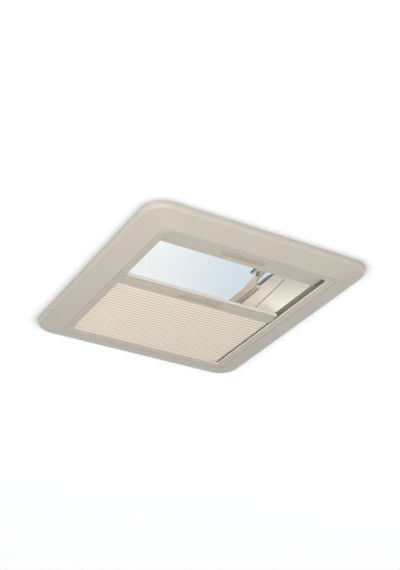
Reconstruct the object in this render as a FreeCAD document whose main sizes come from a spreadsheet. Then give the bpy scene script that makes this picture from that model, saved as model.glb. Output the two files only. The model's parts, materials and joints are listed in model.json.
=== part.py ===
import FreeCAD, Part
import math
import os
import Sketcher

# A roof skylight for a caravan or camper, closed, with its pleated blind half drawn.
# Millimetres. +Z is up and out of the roof, X runs along the blinds' bars and
# Y along the way they travel. The origin is the centre of the roof cut-out, on the
# outer face of the roof. The dome is hinged at the +Y side and opens at the -Y side.

doc = FreeCAD.newDocument("Skylight")
sheet = doc.addObject("Spreadsheet::Sheet", "Sizes")

DRIVING_SIZES = {
    # The roof that the skylight is made for
    "roof_thickness": 45.0,
    "cutout_side": 400.0,
    # Seal, flange and upstand of the outer frame
    "roof_seal_thickness": 2.0,
    "roof_seal_width": 40.0,
    "roof_seal_inset": 3.0,
    "roof_seal_inner_radius": 2.5,
    "flange_overhang": 46.0,
    "flange_thickness": 3.0,
    "flange_radius": 56.0,
    "cutout_clearance": 4.0,
    "upstand_wall": 3.0,
    "upstand_radius": 12.0,
    "upstand_height": 55.0,
    "spigot_depth": 20.0,
    # Sloping cover round the upstand
    "shroud_foot_inset": 6.0,
    "shroud_top_width": 18.0,
    "shroud_step": 11.0,
    "shroud_wall": 2.5,
    "shroud_foot_radius": 50.0,
    "shroud_top_radius": 36.0,
    # Seal on the top edge of the upstand
    "edge_seal_wall": 2.0,
    "edge_seal_inner_wall": 1.0,
    "edge_seal_skirt": 5.0,
    "edge_seal_crown": 2.7,
    "edge_seal_gap": 0.3,
    # Light well that lines the cut-out
    "well_wall": 2.5,
    "well_radius": 12.0,
    "well_boss_gap": 1.0,
    "well_rail_gap": 2.0,
    "well_flange_thickness": 2.0,
    "well_seam_width": 2.6,
    "well_seam_depth": 1.2,
    "well_seam_length": 140.0,
    "well_seam_lean": 6.0,
    "well_seam_y": 0.0,
    "well_seam_height": 46.0,
    # Blind frame, with a lower level for the blackout blind and an upper one for the screen
    "blind_side_margin": 17.0,
    "blind_end_margin": 22.0,
    "blind_frame_wall": 2.0,
    "blind_radius": 8.0,
    "blind_slot_top": 5.2,
    "screen_level_height": 5.2,
    "blackout_level_height": 7.2,
    "blind_level_gap": 0.4,
    "track_depth": 10.4,
    "track_wall": 1.6,
    "track_lip": 1.0,
    "fit_gap": 0.2,
    "running_gap": 0.4,
    # Bars, their runners, their finger grips and the pleated cloths
    "bar_width": 33.5,
    "bar_lip_width": 13.5,
    "bar_lip_step": 1.5,
    "bar_end_gap": 0.5,
    "bar_park_gap": 0.5,
    "bar_edge_round": 0.8,
    "blackout_bar_y": -4.0,
    "screen_stack_length": 22.8,
    "grip_length": 92.0,
    "grip_width": 14.0,
    "grip_depth": 4.2,
    "grip_inset": 1.6,
    "grip_end_wall": 3.0,
    "runner_length": 26.0,
    "runner_reach": 11.0,
    "headrail_width": 8.0,
    "blackout_pleats": 23,
    "blackout_fold_depth": 0.6,
    "screen_pleats": 34,
    "screen_fold_depth": 2.0,
    "cloth_gap": 0.1,
    "cloth_end_gap": 0.3,
    # Inner trim against the ceiling
    "trim_radius": 44.0,
    "trim_rim_height": 12.0,
    "trim_rim_inset": 7.5,
    "trim_face_width": 49.0,
    "trim_face_drop": 22.5,
    "trim_face_radius": 15.0,
    "trim_lip_width": 17.0,
    "trim_lip_drop": 20.4,
    "trim_lip_thickness": 1.8,
    "trim_opening_margin": 1.0,
    "trim_opening_radius": 9.0,
    "trim_wall": 2.5,
    "trim_crease": 0.7,
    # Dome of two acrylic skins
    "dome_overhang": 50.0,
    "dome_radius": 60.0,
    "skin_thickness": 3.0,
    "pan_inset": 6.0,
    "pan_top_inset": 9.0,
    "pan_radius": 28.0,
    "pan_rise": 32.0,
    "crown_rise": 52.0,
    "crown_foot_inset": 18.0,
    "crown_flat_share": 0.44,
    "crown_corner_share": 0.72,
    "edge_trim_wall": 4.0,
    "edge_trim_reach": 10.0,
    "edge_trim_lip": 3.0,
    # Hinges at the far side
    "hinge_offset": 22.0,
    "hinge_drop": 8.0,
    "hinge_spacing": 240.0,
    "hinge_knuckle_radius": 6.0,
    "hinge_knuckle_width": 26.4,
    "hinge_ear": 5.0,
    "hinge_ear_gap": 0.3,
    "hinge_base_thickness": 3.0,
    "hinge_pad_thickness": 1.8,
    "hinge_neck_width": 9.6,
    "hinge_base_length": 32.0,
    "hinge_pocket_gap": 2.0,
    "hinge_pin_radius": 3.0,
    "pin_clearance": 0.05,
    # Rails on the upstand, and the stays and shoes that run in them
    "rail_bracket_thickness": 2.6,
    "rail_depth": 11.8,
    "rail_height": 14.0,
    "rail_wall": 1.5,
    "rail_slot": 6.0,
    "rail_end_gap": 5.0,
    "rail_length": 234.0,
    "notch_count": 4,
    "notch_width": 5.0,
    "notch_spacing": 58.0,
    "shoe_length": 18.0,
    "shoe_gap": 0.4,
    "shoe_end_gap": 5.0,
    "rail_bracket_length": 16.0,
    "rail_bracket_drop": 8.0,
    "rail_screw_radius": 2.0,
    "rail_screw_head": 3.5,
    "stay_rail_gap": 1.5,
    "stay_thickness": 2.6,
    "stay_width": 12.0,
    "stay_rise": 22.0,
    "stay_pin_radius": 2.5,
    "pin_head_radius": 4.5,
    "pin_head_height": 1.6,
    # Brackets on soft pads under the inner skin, that carry the stays and the handle bow
    "dome_bracket_length": 47.0,
    "dome_bracket_ahead": 19.0,
    "dome_bracket_width": 8.0,
    "dome_bracket_lip": 2.6,
    "dome_bracket_plate": 2.0,
    "bracket_pad_thickness": 2.5,
    "bracket_pad_edge": 1.5,
    "lug_stay_gap": 1.1,
    "lug_thickness": 3.0,
    "lug_eye_radius": 6.0,
    # Handle bow
    "bow_lug_gap": 0.8,
    "bow_well_gap": 3.4,
    "bow_well_end_gap": 8.5,
    "bow_pivot_ahead": 7.5,
    "bow_pivot_drop": 8.5,
    "bow_arm_thickness": 6.0,
    "bow_beam_overlap": 2.5,
    "bow_beam_height": 19.5,
    "bow_tube_radius": 7.0,
    "bow_grip_radius": 9.0,
    "bow_grip_length": 120.0,
    "bow_pin_radius": 3.0,
    "bow_eye_radius": 7.5,
    "bow_heel_reach": 15.0,
    "bow_shoulder_reach": 55.0,
    "bow_neck_hollow": 2.5,
    "bow_knob_radius": 6.5,
    "bow_knob_height": 2.7,
    "bow_knob_gap": 0.3,
    # Clamp claws that hold the outer frame to the roof
    "claw_spacing": 200.0,
    "claw_width": 30.0,
    "claw_sheet": 2.5,
    "claw_reach": 22.0,
    "claw_rise": 10.5,
    "claw_screw_inset": 9.0,
    "claw_screw_radius": 2.4,
    "claw_head_radius": 4.2,
    "claw_head_height": 3.0,
    "boss_width": 12.0,
    "boss_reach": 13.5,
    "boss_hole_depth": 17.0,
    "claw_screw_grip": 15.0,
    "ceiling_gap": 0.3,
}

for row, (alias, value) in enumerate(DRIVING_SIZES.items(), start=1):
    sheet.set(f"A{row}", alias)
    sheet.set(f"B{row}", str(value))
    sheet.setAlias(f"B{row}", alias)
doc.recompute()

parts = {}


def size(alias):
    return f"Sizes.{alias}"


def value_of(expression):
    return float(sheet.evalExpression(str(expression).replace("Sizes.", "")))


def publish(node, name):
    node.Label = name
    parts[name] = node
    return node


# Helpers for primitives and booleans. Every place and size is an expression.

def box(name, x_span, y_span, z_span):
    solid = doc.addObject("Part::Box", name)
    for side, axis, span in (("Length", "x", x_span), ("Width", "y", y_span), ("Height", "z", z_span)):
        low, high = span
        solid.setExpression(side, f"({high}) - ({low})")
        solid.setExpression(f"Placement.Base.{axis}", f"{low}")
    return solid


def rod(name, axis, x, y, z, radius, length):
    solid = doc.addObject("Part::Cylinder", name)
    if axis == "x":
        solid.Placement = FreeCAD.Placement(FreeCAD.Vector(), FreeCAD.Rotation(FreeCAD.Vector(0, 1, 0), 90))
    solid.setExpression("Radius", radius)
    solid.setExpression("Height", length)
    for coordinate, place in (("x", x), ("y", y), ("z", z)):
        solid.setExpression(f"Placement.Base.{coordinate}", f"{place}")
    return solid


def fuse(name, solids):
    joined = doc.addObject("Part::MultiFuse", name)
    joined.Shapes = solids
    return joined


def cut(name, base, tool):
    result = doc.addObject("Part::Cut", name)
    result.Base = base
    result.Tool = tool
    return result


def group(name, solids):
    compound = doc.addObject("Part::Compound", name)
    compound.Links = solids
    return compound


def mirror_x(name, source):
    mirrored = doc.addObject("Part::Mirroring", name)
    mirrored.Source = source
    mirrored.Normal = FreeCAD.Vector(1, 0, 0)
    return mirrored


def publish_pair(source, name):
    publish(source, f"{name}_right")
    publish(mirror_x(f"{name}_mirror", source), f"{name}_left")


# Helpers for bodies with sketches

def new_body(name):
    return doc.addObject("PartDesign::Body", name)


def new_sketch(body, name, role, offset):
    sketch = body.newObject("Sketcher::SketchObject", name)
    plane = next(item for item in body.Origin.OriginFeatures if item.Role == role)
    sketch.AttachmentSupport = [(plane, "")]
    sketch.MapMode = "FlatFace"
    sketch.setExpression("AttachmentOffset.Base.z", f"{offset}")
    return sketch


def rounded_rectangle(body, name, half_x, half_y, radius, level):
    """A sketch of a rectangle with round corners, centred on the Z axis."""
    sketch = new_sketch(body, name, "XY_Plane", level)
    across, along, corner = value_of(half_x), value_of(half_y), value_of(radius)
    vector = FreeCAD.Vector
    straight_x, straight_y = across - corner, along - corner
    for start, end in (
        ((-straight_x, -along), (straight_x, -along)),
        ((across, -straight_y), (across, straight_y)),
        ((straight_x, along), (-straight_x, along)),
        ((-across, straight_y), (-across, -straight_y)),
    ):
        sketch.addGeometry(Part.LineSegment(vector(*start, 0), vector(*end, 0)))
    centres = ((straight_x, -straight_y), (straight_x, straight_y),
               (-straight_x, straight_y), (-straight_x, -straight_y))
    for quarter, centre in enumerate(centres):
        start = (quarter - 1) * math.pi / 2
        circle = Part.Circle(vector(*centre, 0), vector(0, 0, 1), corner)
        sketch.addGeometry(Part.ArcOfCircle(circle, start, start + math.pi / 2))
    for side in range(4):
        sketch.addConstraint(Sketcher.Constraint("Tangent", side, 2, 4 + side, 1))
        sketch.addConstraint(Sketcher.Constraint("Tangent", 4 + side, 2, (side + 1) % 4, 1))
    for side, direction in enumerate(("Horizontal", "Vertical", "Horizontal", "Vertical")):
        sketch.addConstraint(Sketcher.Constraint(direction, side))
    for arc in (5, 6, 7):
        sketch.addConstraint(Sketcher.Constraint("Equal", 4, arc))
    sketch.addConstraint(Sketcher.Constraint("Symmetric", 4, 3, 6, 3, -1, 1))
    for label, constraint, expression in (
        ("corner_radius", Sketcher.Constraint("Radius", 4, corner), radius),
        ("whole_width", Sketcher.Constraint("DistanceX", 3, 1, 1, 1, 2 * across), f"2 * ({half_x})"),
        ("whole_length", Sketcher.Constraint("DistanceY", 0, 1, 2, 2, 2 * along), f"2 * ({half_y})"),
    ):
        index = sketch.addConstraint(constraint)
        sketch.renameConstraint(index, label)
        sketch.setExpression(f"Constraints.{label}", f"{expression}")
    return sketch


def place_point(sketch, geometry, position, label, place):
    """Binds one point of a sketch to a pair of expressions, measured from the sketch's origin."""
    for kind, expression in zip(("DistanceX", "DistanceY"), place):
        constraint = Sketcher.Constraint(kind, -1, 1, geometry, position, value_of(expression))
        index = sketch.addConstraint(constraint)
        sketch.renameConstraint(index, f"{kind.lower()}_{label}")
        sketch.setExpression(f"Constraints.{kind.lower()}_{label}", f"{expression}")


def arc_through(start, middle, end):
    """An arc, and whether it runs the sketch's own way, which is anticlockwise."""
    centre = Part.Circle(start, middle, end).Center
    circle = Part.Circle(centre, FreeCAD.Vector(0, 0, 1), (start - centre).Length)
    anticlockwise = (middle - start).cross(end - middle).z > 0
    first, last = (start, end) if anticlockwise else (end, start)
    angles = [math.atan2(point.y - centre.y, point.x - centre.x) for point in (first, last)]
    if angles[1] <= angles[0]:
        angles[1] += 2 * math.pi
    return Part.ArcOfCircle(circle, *angles), anticlockwise


def outline(body, name, role, offset, corners, arcs=None):
    """A closed sketch. Corners are pairs of expressions in the sketch's own axes.

    arcs gives, for the number of an edge that is an arc, a point that the arc passes through.
    """
    arcs = arcs or {}
    sketch = new_sketch(body, name, role, offset)
    points = [FreeCAD.Vector(value_of(across), value_of(up), 0) for across, up in corners]
    count = len(points)
    starts, ends = [1] * count, [2] * count
    for edge, point in enumerate(points):
        following = points[(edge + 1) % count]
        if edge in arcs:
            middle = FreeCAD.Vector(value_of(arcs[edge][0]), value_of(arcs[edge][1]), 0)
            arc, anticlockwise = arc_through(point, middle, following)
            sketch.addGeometry(arc)
            if not anticlockwise:
                starts[edge], ends[edge] = 2, 1
        else:
            sketch.addGeometry(Part.LineSegment(point, following))
    for edge in range(count):
        following = (edge + 1) % count
        joined = (edge, ends[edge], following, starts[following])
        sketch.addConstraint(Sketcher.Constraint("Coincident", *joined))
    for edge, corner in enumerate(corners):
        place_point(sketch, edge, starts[edge], str(edge), corner)
    for edge, middle in arcs.items():
        point = FreeCAD.Vector(value_of(middle[0]), value_of(middle[1]), 0)
        marker = sketch.addGeometry(Part.Point(point), True)
        sketch.addConstraint(Sketcher.Constraint("PointOnObject", marker, 1, edge))
        place_point(sketch, marker, 1, f"arc_{edge}", middle)
    return sketch


def pad(body, name, sketch, length):
    feature = body.newObject("PartDesign::Pad", name)
    feature.Profile = sketch
    feature.setExpression("Length", f"{length}")
    return feature


def pocket_through(body, name, sketch):
    feature = body.newObject("PartDesign::Pocket", name)
    feature.Profile = sketch
    feature.Type = "ThroughAll"
    return feature


def pocket(body, name, sketch, depth):
    feature = body.newObject("PartDesign::Pocket", name)
    feature.Profile = sketch
    feature.setExpression("Length", f"{depth}")
    return feature


def loft(body, name, kind, sketches):
    feature = body.newObject(f"PartDesign::{kind}Loft", name)
    feature.Profile = sketches[0]
    feature.Sections = sketches[1:]
    feature.Ruled = True
    return feature


def ring(name, outer, inner, low, high):
    """A flat ring between two round-cornered rectangles, each (half_x, half_y, radius)."""
    body = new_body(name)
    whole = rounded_rectangle(body, f"{name}_outer", *outer, low)
    pad(body, f"{name}_pad", whole, f"({high}) - ({low})")
    pocket_through(body, f"{name}_pocket", rounded_rectangle(body, f"{name}_inner", *inner, high))
    return body


def slab(name, outline, low, high):
    body = new_body(name)
    whole = rounded_rectangle(body, f"{name}_outline", *outline, low)
    pad(body, f"{name}_pad", whole, f"({high}) - ({low})")
    return body


# Places that several pieces share, worked out from the cut-out inwards and outwards
CUTOUT_HALF = "(Sizes.cutout_side / 2)"
UPSTAND_OUTER = f"({CUTOUT_HALF} - Sizes.cutout_clearance)"
UPSTAND_INNER = f"({UPSTAND_OUTER} - Sizes.upstand_wall)"
FLANGE_HALF = f"({CUTOUT_HALF} + Sizes.flange_overhang)"
DOME_HALF = f"({CUTOUT_HALF} + Sizes.dome_overhang)"
SKIN_EDGE = f"({DOME_HALF} - Sizes.edge_trim_wall)"
RAIL_OUTER_X = f"({UPSTAND_INNER} - Sizes.rail_bracket_thickness)"
RAIL_INNER_X = f"({RAIL_OUTER_X} - Sizes.rail_depth)"
STAY_OUTER_X = f"({RAIL_INNER_X} - Sizes.stay_rail_gap)"
STAY_INNER_X = f"({STAY_OUTER_X} - Sizes.stay_thickness)"
LUG_OUTER_X = f"({STAY_INNER_X} - Sizes.lug_stay_gap)"
LUG_INNER_X = f"({LUG_OUTER_X} - Sizes.lug_thickness)"
BOW_OUTER_X = f"({LUG_INNER_X} - Sizes.bow_lug_gap)"
BOW_INNER_X = f"({BOW_OUTER_X} - Sizes.bow_arm_thickness)"
WELL_HALF_X = f"({BOW_OUTER_X} + Sizes.bow_well_gap)"
WELL_HALF_Y = f"({UPSTAND_INNER} - Sizes.boss_reach - Sizes.well_boss_gap - Sizes.well_wall)"
BLIND_HALF_X = f"({WELL_HALF_X} + Sizes.blind_side_margin)"
OPENING_HALF_X = f"({WELL_HALF_X} + Sizes.trim_opening_margin)"
OPENING_HALF_Y = f"({WELL_HALF_Y} + Sizes.bar_width + Sizes.bar_park_gap)"
BLIND_HALF_Y = f"({OPENING_HALF_Y} + Sizes.blind_end_margin)"
TRIM_EDGE = "(Sizes.trim_face_width + Sizes.trim_lip_width)"
TRIM_HALF_X = f"({OPENING_HALF_X} + {TRIM_EDGE})"
TRIM_HALF_Y = f"({OPENING_HALF_Y} + {TRIM_EDGE})"
BAR_HALF = f"({WELL_HALF_X} - Sizes.bar_end_gap)"
TRACK_BACK = f"({BLIND_HALF_X} - Sizes.blind_frame_wall - Sizes.fit_gap)"
TRACK_MOUTH = f"({TRACK_BACK} - Sizes.track_depth)"
TRACK_END = f"({BLIND_HALF_Y} - Sizes.blind_radius)"
HEADRAIL_END = f"({BLIND_HALF_Y} - Sizes.blind_frame_wall - Sizes.fit_gap)"
HEADRAIL_FACE = f"({HEADRAIL_END} - Sizes.headrail_width)"
SCREEN_BAR_Y = f"(Sizes.screen_stack_length - {HEADRAIL_FACE})"
HINGE_X = "(Sizes.hinge_spacing / 2)"
HINGE_Y = f"({CUTOUT_HALF} + Sizes.hinge_offset)"
EAR_INNER = "(Sizes.hinge_knuckle_width / 2 + Sizes.hinge_ear_gap)"
EAR_OUTER = f"({EAR_INNER} + Sizes.hinge_ear)"

# The stay's two pivots are equally far from each other and from the dome's hinge, so that
# the shoe travels along a straight rail at the hinge's level.
RAIL_NEAR_END = f"(Sizes.rail_end_gap - {UPSTAND_INNER})"
RAIL_FAR_END = f"({RAIL_NEAR_END} + Sizes.rail_length)"
SHOE_Y = f"({RAIL_NEAR_END} + Sizes.shoe_end_gap + Sizes.shoe_length / 2)"
STAY_REACH = f"(({HINGE_Y} - {SHOE_Y}) / 2)"
STAY_PIVOT_Y = f"({HINGE_Y} - {STAY_REACH})"
STAY_LENGTH = f"sqrt({STAY_REACH} ^ 2 + Sizes.stay_rise ^ 2)"
BOW_PIVOT_Y = f"({STAY_PIVOT_Y} - Sizes.bow_pivot_ahead)"
BOW_TUBE_Y = f"({WELL_HALF_Y} - Sizes.bow_well_end_gap - Sizes.bow_beam_height / 2)"

# Levels
CEILING = "(-Sizes.roof_thickness)"
FLANGE_TOP = "(Sizes.roof_seal_thickness + Sizes.flange_thickness)"
SHROUD_TOP = "(Sizes.upstand_height - Sizes.shroud_step)"
DOME_FLOOR = "(Sizes.upstand_height + Sizes.edge_seal_crown + Sizes.edge_seal_gap)"
INNER_SKIN_TOP = f"({DOME_FLOOR} + Sizes.skin_thickness)"
OUTER_SKIN_TOP = f"({INNER_SKIN_TOP} + Sizes.skin_thickness)"
PAN_TOP = f"({DOME_FLOOR} + Sizes.pan_rise)"
PAN_UNDERSIDE = f"({PAN_TOP} - Sizes.skin_thickness)"
CROWN_TOP = f"({DOME_FLOOR} + Sizes.crown_rise)"
HINGE_LEVEL = f"({DOME_FLOOR} - Sizes.hinge_drop)"
STAY_PIVOT_LEVEL = f"({HINGE_LEVEL} + Sizes.stay_rise)"
BOW_PIVOT_LEVEL = f"({STAY_PIVOT_LEVEL} - Sizes.bow_pivot_drop)"
RAIL_FLOOR = f"({HINGE_LEVEL} - Sizes.rail_height / 2)"
RAIL_ROOF = f"({HINGE_LEVEL} + Sizes.rail_height / 2)"
WELL_TOP = f"({RAIL_FLOOR} - Sizes.well_rail_gap)"
BEAM_FLOOR = f"({WELL_TOP} - Sizes.bow_beam_overlap)"
BEAM_TOP = f"({BEAM_FLOOR} + Sizes.bow_beam_height)"
BOW_TUBE_LEVEL = f"(({BEAM_FLOOR} + {BEAM_TOP}) / 2)"
SLOT_TOP = f"({CEILING} - Sizes.blind_slot_top)"
SCREEN_TOP = f"({SLOT_TOP} - Sizes.running_gap)"
SCREEN_FLOOR = f"({SCREEN_TOP} - Sizes.screen_level_height)"
BLACKOUT_TOP = f"({SCREEN_FLOOR} - Sizes.blind_level_gap)"
BLACKOUT_FLOOR = f"({BLACKOUT_TOP} - Sizes.blackout_level_height)"


# Outer frame: a flange on the roof, an upstand through the cut-out and screw bosses

def turned(solid, quarter):
    rotation = FreeCAD.Rotation(FreeCAD.Vector(0, 0, 1), 90 * quarter)
    solid.Placement = FreeCAD.Placement(FreeCAD.Vector(), rotation)
    return solid


def for_each_claw(make):
    solids = []
    for quarter in range(4):
        for sign in (-1, 1):
            name = f"{quarter}_{'near' if sign < 0 else 'far'}"
            offset = f"({sign} * Sizes.claw_spacing / 2)"
            solids.append(turned(make(name, offset), quarter))
    return solids


CLAW_SCREW_R = f"({UPSTAND_INNER} - Sizes.claw_screw_inset)"


def make_boss(name, offset):
    half = "Sizes.boss_width / 2"
    block = box(f"boss_block_{name}",
                (f"{UPSTAND_INNER} - Sizes.boss_reach", UPSTAND_INNER),
                (f"{offset} - {half}", f"{offset} + {half}"),
                ("-Sizes.spigot_depth", "0"))
    hole = rod(f"boss_hole_{name}", "z", CLAW_SCREW_R, offset, "-Sizes.spigot_depth",
               "Sizes.claw_screw_radius + Sizes.pin_clearance", size("boss_hole_depth"))
    return cut(f"boss_{name}", block, hole)


def make_outer_frame():
    body = new_body("frame_body")
    flange = rounded_rectangle(body, "flange_outline", FLANGE_HALF, FLANGE_HALF,
                               size("flange_radius"), size("roof_seal_thickness"))
    pad(body, "flange_pad", flange, size("flange_thickness"))
    upstand = rounded_rectangle(body, "upstand_outline", UPSTAND_OUTER, UPSTAND_OUTER,
                                size("upstand_radius"), "-Sizes.spigot_depth")
    pad(body, "upstand_pad", upstand, "Sizes.spigot_depth + Sizes.upstand_height")
    opening = rounded_rectangle(body, "frame_opening", UPSTAND_INNER, UPSTAND_INNER,
                                "Sizes.upstand_radius - Sizes.upstand_wall", size("upstand_height"))
    pocket_through(body, "frame_pocket", opening)
    with_bosses = fuse("frame_with_bosses", [body] + for_each_claw(make_boss))
    drilled = cut("outer_frame_cut", with_bosses, rail_screw_holes())
    publish(drilled, "outer_frame")


# The rails' brackets and screws

BRACKET_PLACES = {
    "near": f"({RAIL_NEAR_END} + Sizes.rail_bracket_length)",
    "middle": f"(({RAIL_NEAR_END} + {RAIL_FAR_END}) / 2)",
    "far": f"({RAIL_FAR_END} - Sizes.rail_bracket_length)",
}
SCREW_LEVEL = f"({RAIL_FLOOR} - Sizes.rail_bracket_drop / 2)"
SIDES = {"right": 1, "left": -1}


def rail_screw_holes():
    holes = []
    for side, sign in SIDES.items():
        for place, y in BRACKET_PLACES.items():
            start = f"{sign} * {UPSTAND_OUTER} - ({'Sizes.upstand_wall' if sign > 0 else '0'})"
            holes.append(rod(f"frame_screw_hole_{side}_{place}", "x", start, y, SCREW_LEVEL,
                             "Sizes.rail_screw_radius + Sizes.pin_clearance", size("upstand_wall")))
    return fuse("frame_screw_holes", holes)


def make_rail_brackets():
    brackets = []
    screws = []
    for place, y in BRACKET_PLACES.items():
        half = "Sizes.rail_bracket_length / 2"
        levels = (f"{RAIL_FLOOR} - Sizes.rail_bracket_drop", f"{RAIL_FLOOR} + Sizes.rail_bracket_drop / 2")
        plate = box(f"bracket_plate_{place}", (RAIL_OUTER_X, UPSTAND_INNER),
                    (f"{y} - {half}", f"{y} + {half}"), levels)
        hole = rod(f"bracket_hole_{place}", "x", RAIL_OUTER_X, y, SCREW_LEVEL,
                   "Sizes.rail_screw_radius + Sizes.pin_clearance", f"{UPSTAND_INNER} - {RAIL_OUTER_X}")
        brackets.append(cut(f"bracket_{place}", plate, hole))
        shank = rod(f"rail_screw_shank_{place}", "x", RAIL_OUTER_X, y, SCREW_LEVEL,
                    size("rail_screw_radius"), f"{UPSTAND_OUTER} - {RAIL_OUTER_X}")
        head = rod(f"rail_screw_head_{place}", "x", f"{RAIL_OUTER_X} - Sizes.pin_head_height", y,
                   SCREW_LEVEL, size("rail_screw_head"), size("pin_head_height"))
        screws.append(fuse(f"rail_screw_{place}", [shank, head]))
    publish(group("brackets_both", brackets + [mirror_x(f"{item.Name}_left", item) for item in brackets]),
            "rail_brackets")
    publish(group("rail_screws_both", screws + [mirror_x(f"{item.Name}_left", item) for item in screws]),
            "rail_screws")


# Sloping cover over the flange, with pockets for the two hinges

def make_frame_shroud():
    body = new_body("shroud_body")
    foot_half = f"({FLANGE_HALF} - Sizes.shroud_foot_inset)"
    top_half = f"({UPSTAND_OUTER} + Sizes.shroud_top_width)"
    wall = "Sizes.shroud_wall"
    loft(body, "shroud_slope", "Additive", [
        rounded_rectangle(body, "shroud_foot", foot_half, foot_half, size("shroud_foot_radius"), FLANGE_TOP),
        rounded_rectangle(body, "shroud_top", top_half, top_half, size("shroud_top_radius"),
                          SHROUD_TOP),
    ])
    loft(body, "shroud_hollow", "Subtractive", [
        rounded_rectangle(body, "hollow_foot", f"{foot_half} - {wall}", f"{foot_half} - {wall}",
                          f"Sizes.shroud_foot_radius - {wall}", FLANGE_TOP),
        rounded_rectangle(body, "hollow_top", f"{top_half} - {wall}", f"{top_half} - {wall}",
                          f"Sizes.shroud_top_radius - {wall}", f"{SHROUD_TOP} - {wall}"),
    ])
    opening = rounded_rectangle(body, "shroud_opening", UPSTAND_OUTER, UPSTAND_OUTER,
                                size("upstand_radius"), SHROUD_TOP)
    pocket_through(body, "shroud_pocket", opening)
    pockets = []
    reach = f"({EAR_OUTER} + Sizes.hinge_pocket_gap)"
    start = f"({HINGE_Y} - Sizes.hinge_base_length / 2 - Sizes.hinge_pocket_gap)"
    for side, sign in SIDES.items():
        middle = f"({sign} * {HINGE_X})"
        pockets.append(box(f"hinge_pocket_{side}", (f"{middle} - {reach}", f"{middle} + {reach}"),
                           (start, FLANGE_HALF), (FLANGE_TOP, f"{FLANGE_TOP} + {SHROUD_TOP}")))
    publish(cut("frame_shroud_cut", body, fuse("hinge_pockets", pockets)), "frame_shroud")


# Seals

def make_seals():
    outer = f"({FLANGE_HALF} - Sizes.roof_seal_inset)"
    inner = f"({outer} - Sizes.roof_seal_width)"
    roof_seal = ring("roof_seal_ring", (outer, outer, "Sizes.flange_radius - Sizes.roof_seal_inset"),
                     (inner, inner, size("roof_seal_inner_radius")), "0", size("roof_seal_thickness"))
    publish(roof_seal, "roof_seal")

    wall = "Sizes.edge_seal_wall"
    low = "(Sizes.upstand_height - Sizes.edge_seal_skirt)"
    inner_radius = "(Sizes.upstand_radius - Sizes.upstand_wall)"
    seal_inner = f"({UPSTAND_INNER} - Sizes.edge_seal_inner_wall)"
    bulb = ring("edge_seal_bulb",
                (f"{UPSTAND_OUTER} + {wall}", f"{UPSTAND_OUTER} + {wall}", f"Sizes.upstand_radius + {wall}"),
                (seal_inner, seal_inner, f"{inner_radius} - Sizes.edge_seal_inner_wall"),
                low, "Sizes.upstand_height + Sizes.edge_seal_crown")
    groove = ring("edge_seal_groove", (UPSTAND_OUTER, UPSTAND_OUTER, size("upstand_radius")),
                  (UPSTAND_INNER, UPSTAND_INNER, inner_radius), low, size("upstand_height"))
    publish(cut("edge_seal_cut", bulb, groove), "edge_seal")


# Light well, with a leaning seam in each side wall

def make_light_well():
    body = new_body("well_body")
    flange = rounded_rectangle(body, "well_flange", BLIND_HALF_X, BLIND_HALF_Y,
                               size("blind_radius"), SLOT_TOP)
    pad(body, "well_flange_pad", flange, size("well_flange_thickness"))
    wall = rounded_rectangle(body, "well_outline", f"{WELL_HALF_X} + Sizes.well_wall",
                             f"{WELL_HALF_Y} + Sizes.well_wall", "Sizes.well_radius + Sizes.well_wall",
                             SLOT_TOP)
    pad(body, "well_wall_pad", wall, f"{WELL_TOP} - {SLOT_TOP}")
    opening = rounded_rectangle(body, "well_opening", WELL_HALF_X, WELL_HALF_Y,
                                size("well_radius"), WELL_TOP)
    pocket_through(body, "well_pocket", opening)

    seam = doc.addObject("Part::Box", "well_seam_right")
    lean = FreeCAD.Rotation(FreeCAD.Vector(-1, 0, 0), value_of(size("well_seam_lean")))
    seam.Placement = FreeCAD.Placement(FreeCAD.Vector(), lean)
    seam.setExpression("Placement.Rotation.Angle", "Sizes.well_seam_lean * 1deg")
    seam.setExpression("Length", "Sizes.well_seam_depth")
    seam.setExpression("Width", "Sizes.well_seam_length")
    seam.setExpression("Height", "Sizes.well_seam_width")
    seam.setExpression("Placement.Base.x", WELL_HALF_X)
    half = "Sizes.well_seam_length / 2"
    lean_angle = "Sizes.well_seam_lean * 1deg"
    seam.setExpression("Placement.Base.y", f"Sizes.well_seam_y - {half} * cos({lean_angle})")
    seam_level = f"({CEILING} + Sizes.well_seam_height)"
    seam.setExpression("Placement.Base.z", f"{seam_level} + {half} * sin({lean_angle})")
    seams = fuse("well_seams", [seam, mirror_x("well_seam_left", seam)])
    publish(cut("light_well_cut", body, seams), "light_well")


# Blind frame, tracks and headrails

def make_blind_frame():
    wall = "Sizes.blind_frame_wall"
    publish(ring("blind_frame_ring",
                 (BLIND_HALF_X, BLIND_HALF_Y, size("blind_radius")),
                 (f"{BLIND_HALF_X} - {wall}", f"{BLIND_HALF_Y} - {wall}",
                  f"Sizes.blind_radius - {wall}"),
                 BLACKOUT_FLOOR, SLOT_TOP), "blind_frame")


def make_tracks():
    """An E-shaped extrusion each side: one groove for each blind's runners."""
    body = new_body("track_body")
    lip = "Sizes.track_lip"
    top = f"({SLOT_TOP} - Sizes.fit_gap)"
    rib_top = f"({SCREEN_FLOOR} + {lip} / 2 - Sizes.blind_level_gap / 2)"
    rib_floor = f"({rib_top} - {lip})"
    web = f"({TRACK_BACK} - Sizes.track_wall)"
    mouth = TRACK_MOUTH
    points = [
        (mouth, BLACKOUT_FLOOR), (TRACK_BACK, BLACKOUT_FLOOR), (TRACK_BACK, top), (mouth, top),
        (mouth, f"{top} - {lip}"), (web, f"{top} - {lip}"), (web, rib_top), (mouth, rib_top),
        (mouth, rib_floor), (web, rib_floor), (web, f"{BLACKOUT_FLOOR} + {lip}"),
        (mouth, f"{BLACKOUT_FLOOR} + {lip}"),
    ]
    profile = outline(body, "track_profile", "XZ_Plane", f"-{TRACK_END}", points)
    pad(body, "track_pad", profile, f"2 * {TRACK_END}")
    publish_pair(body, "track")


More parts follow.
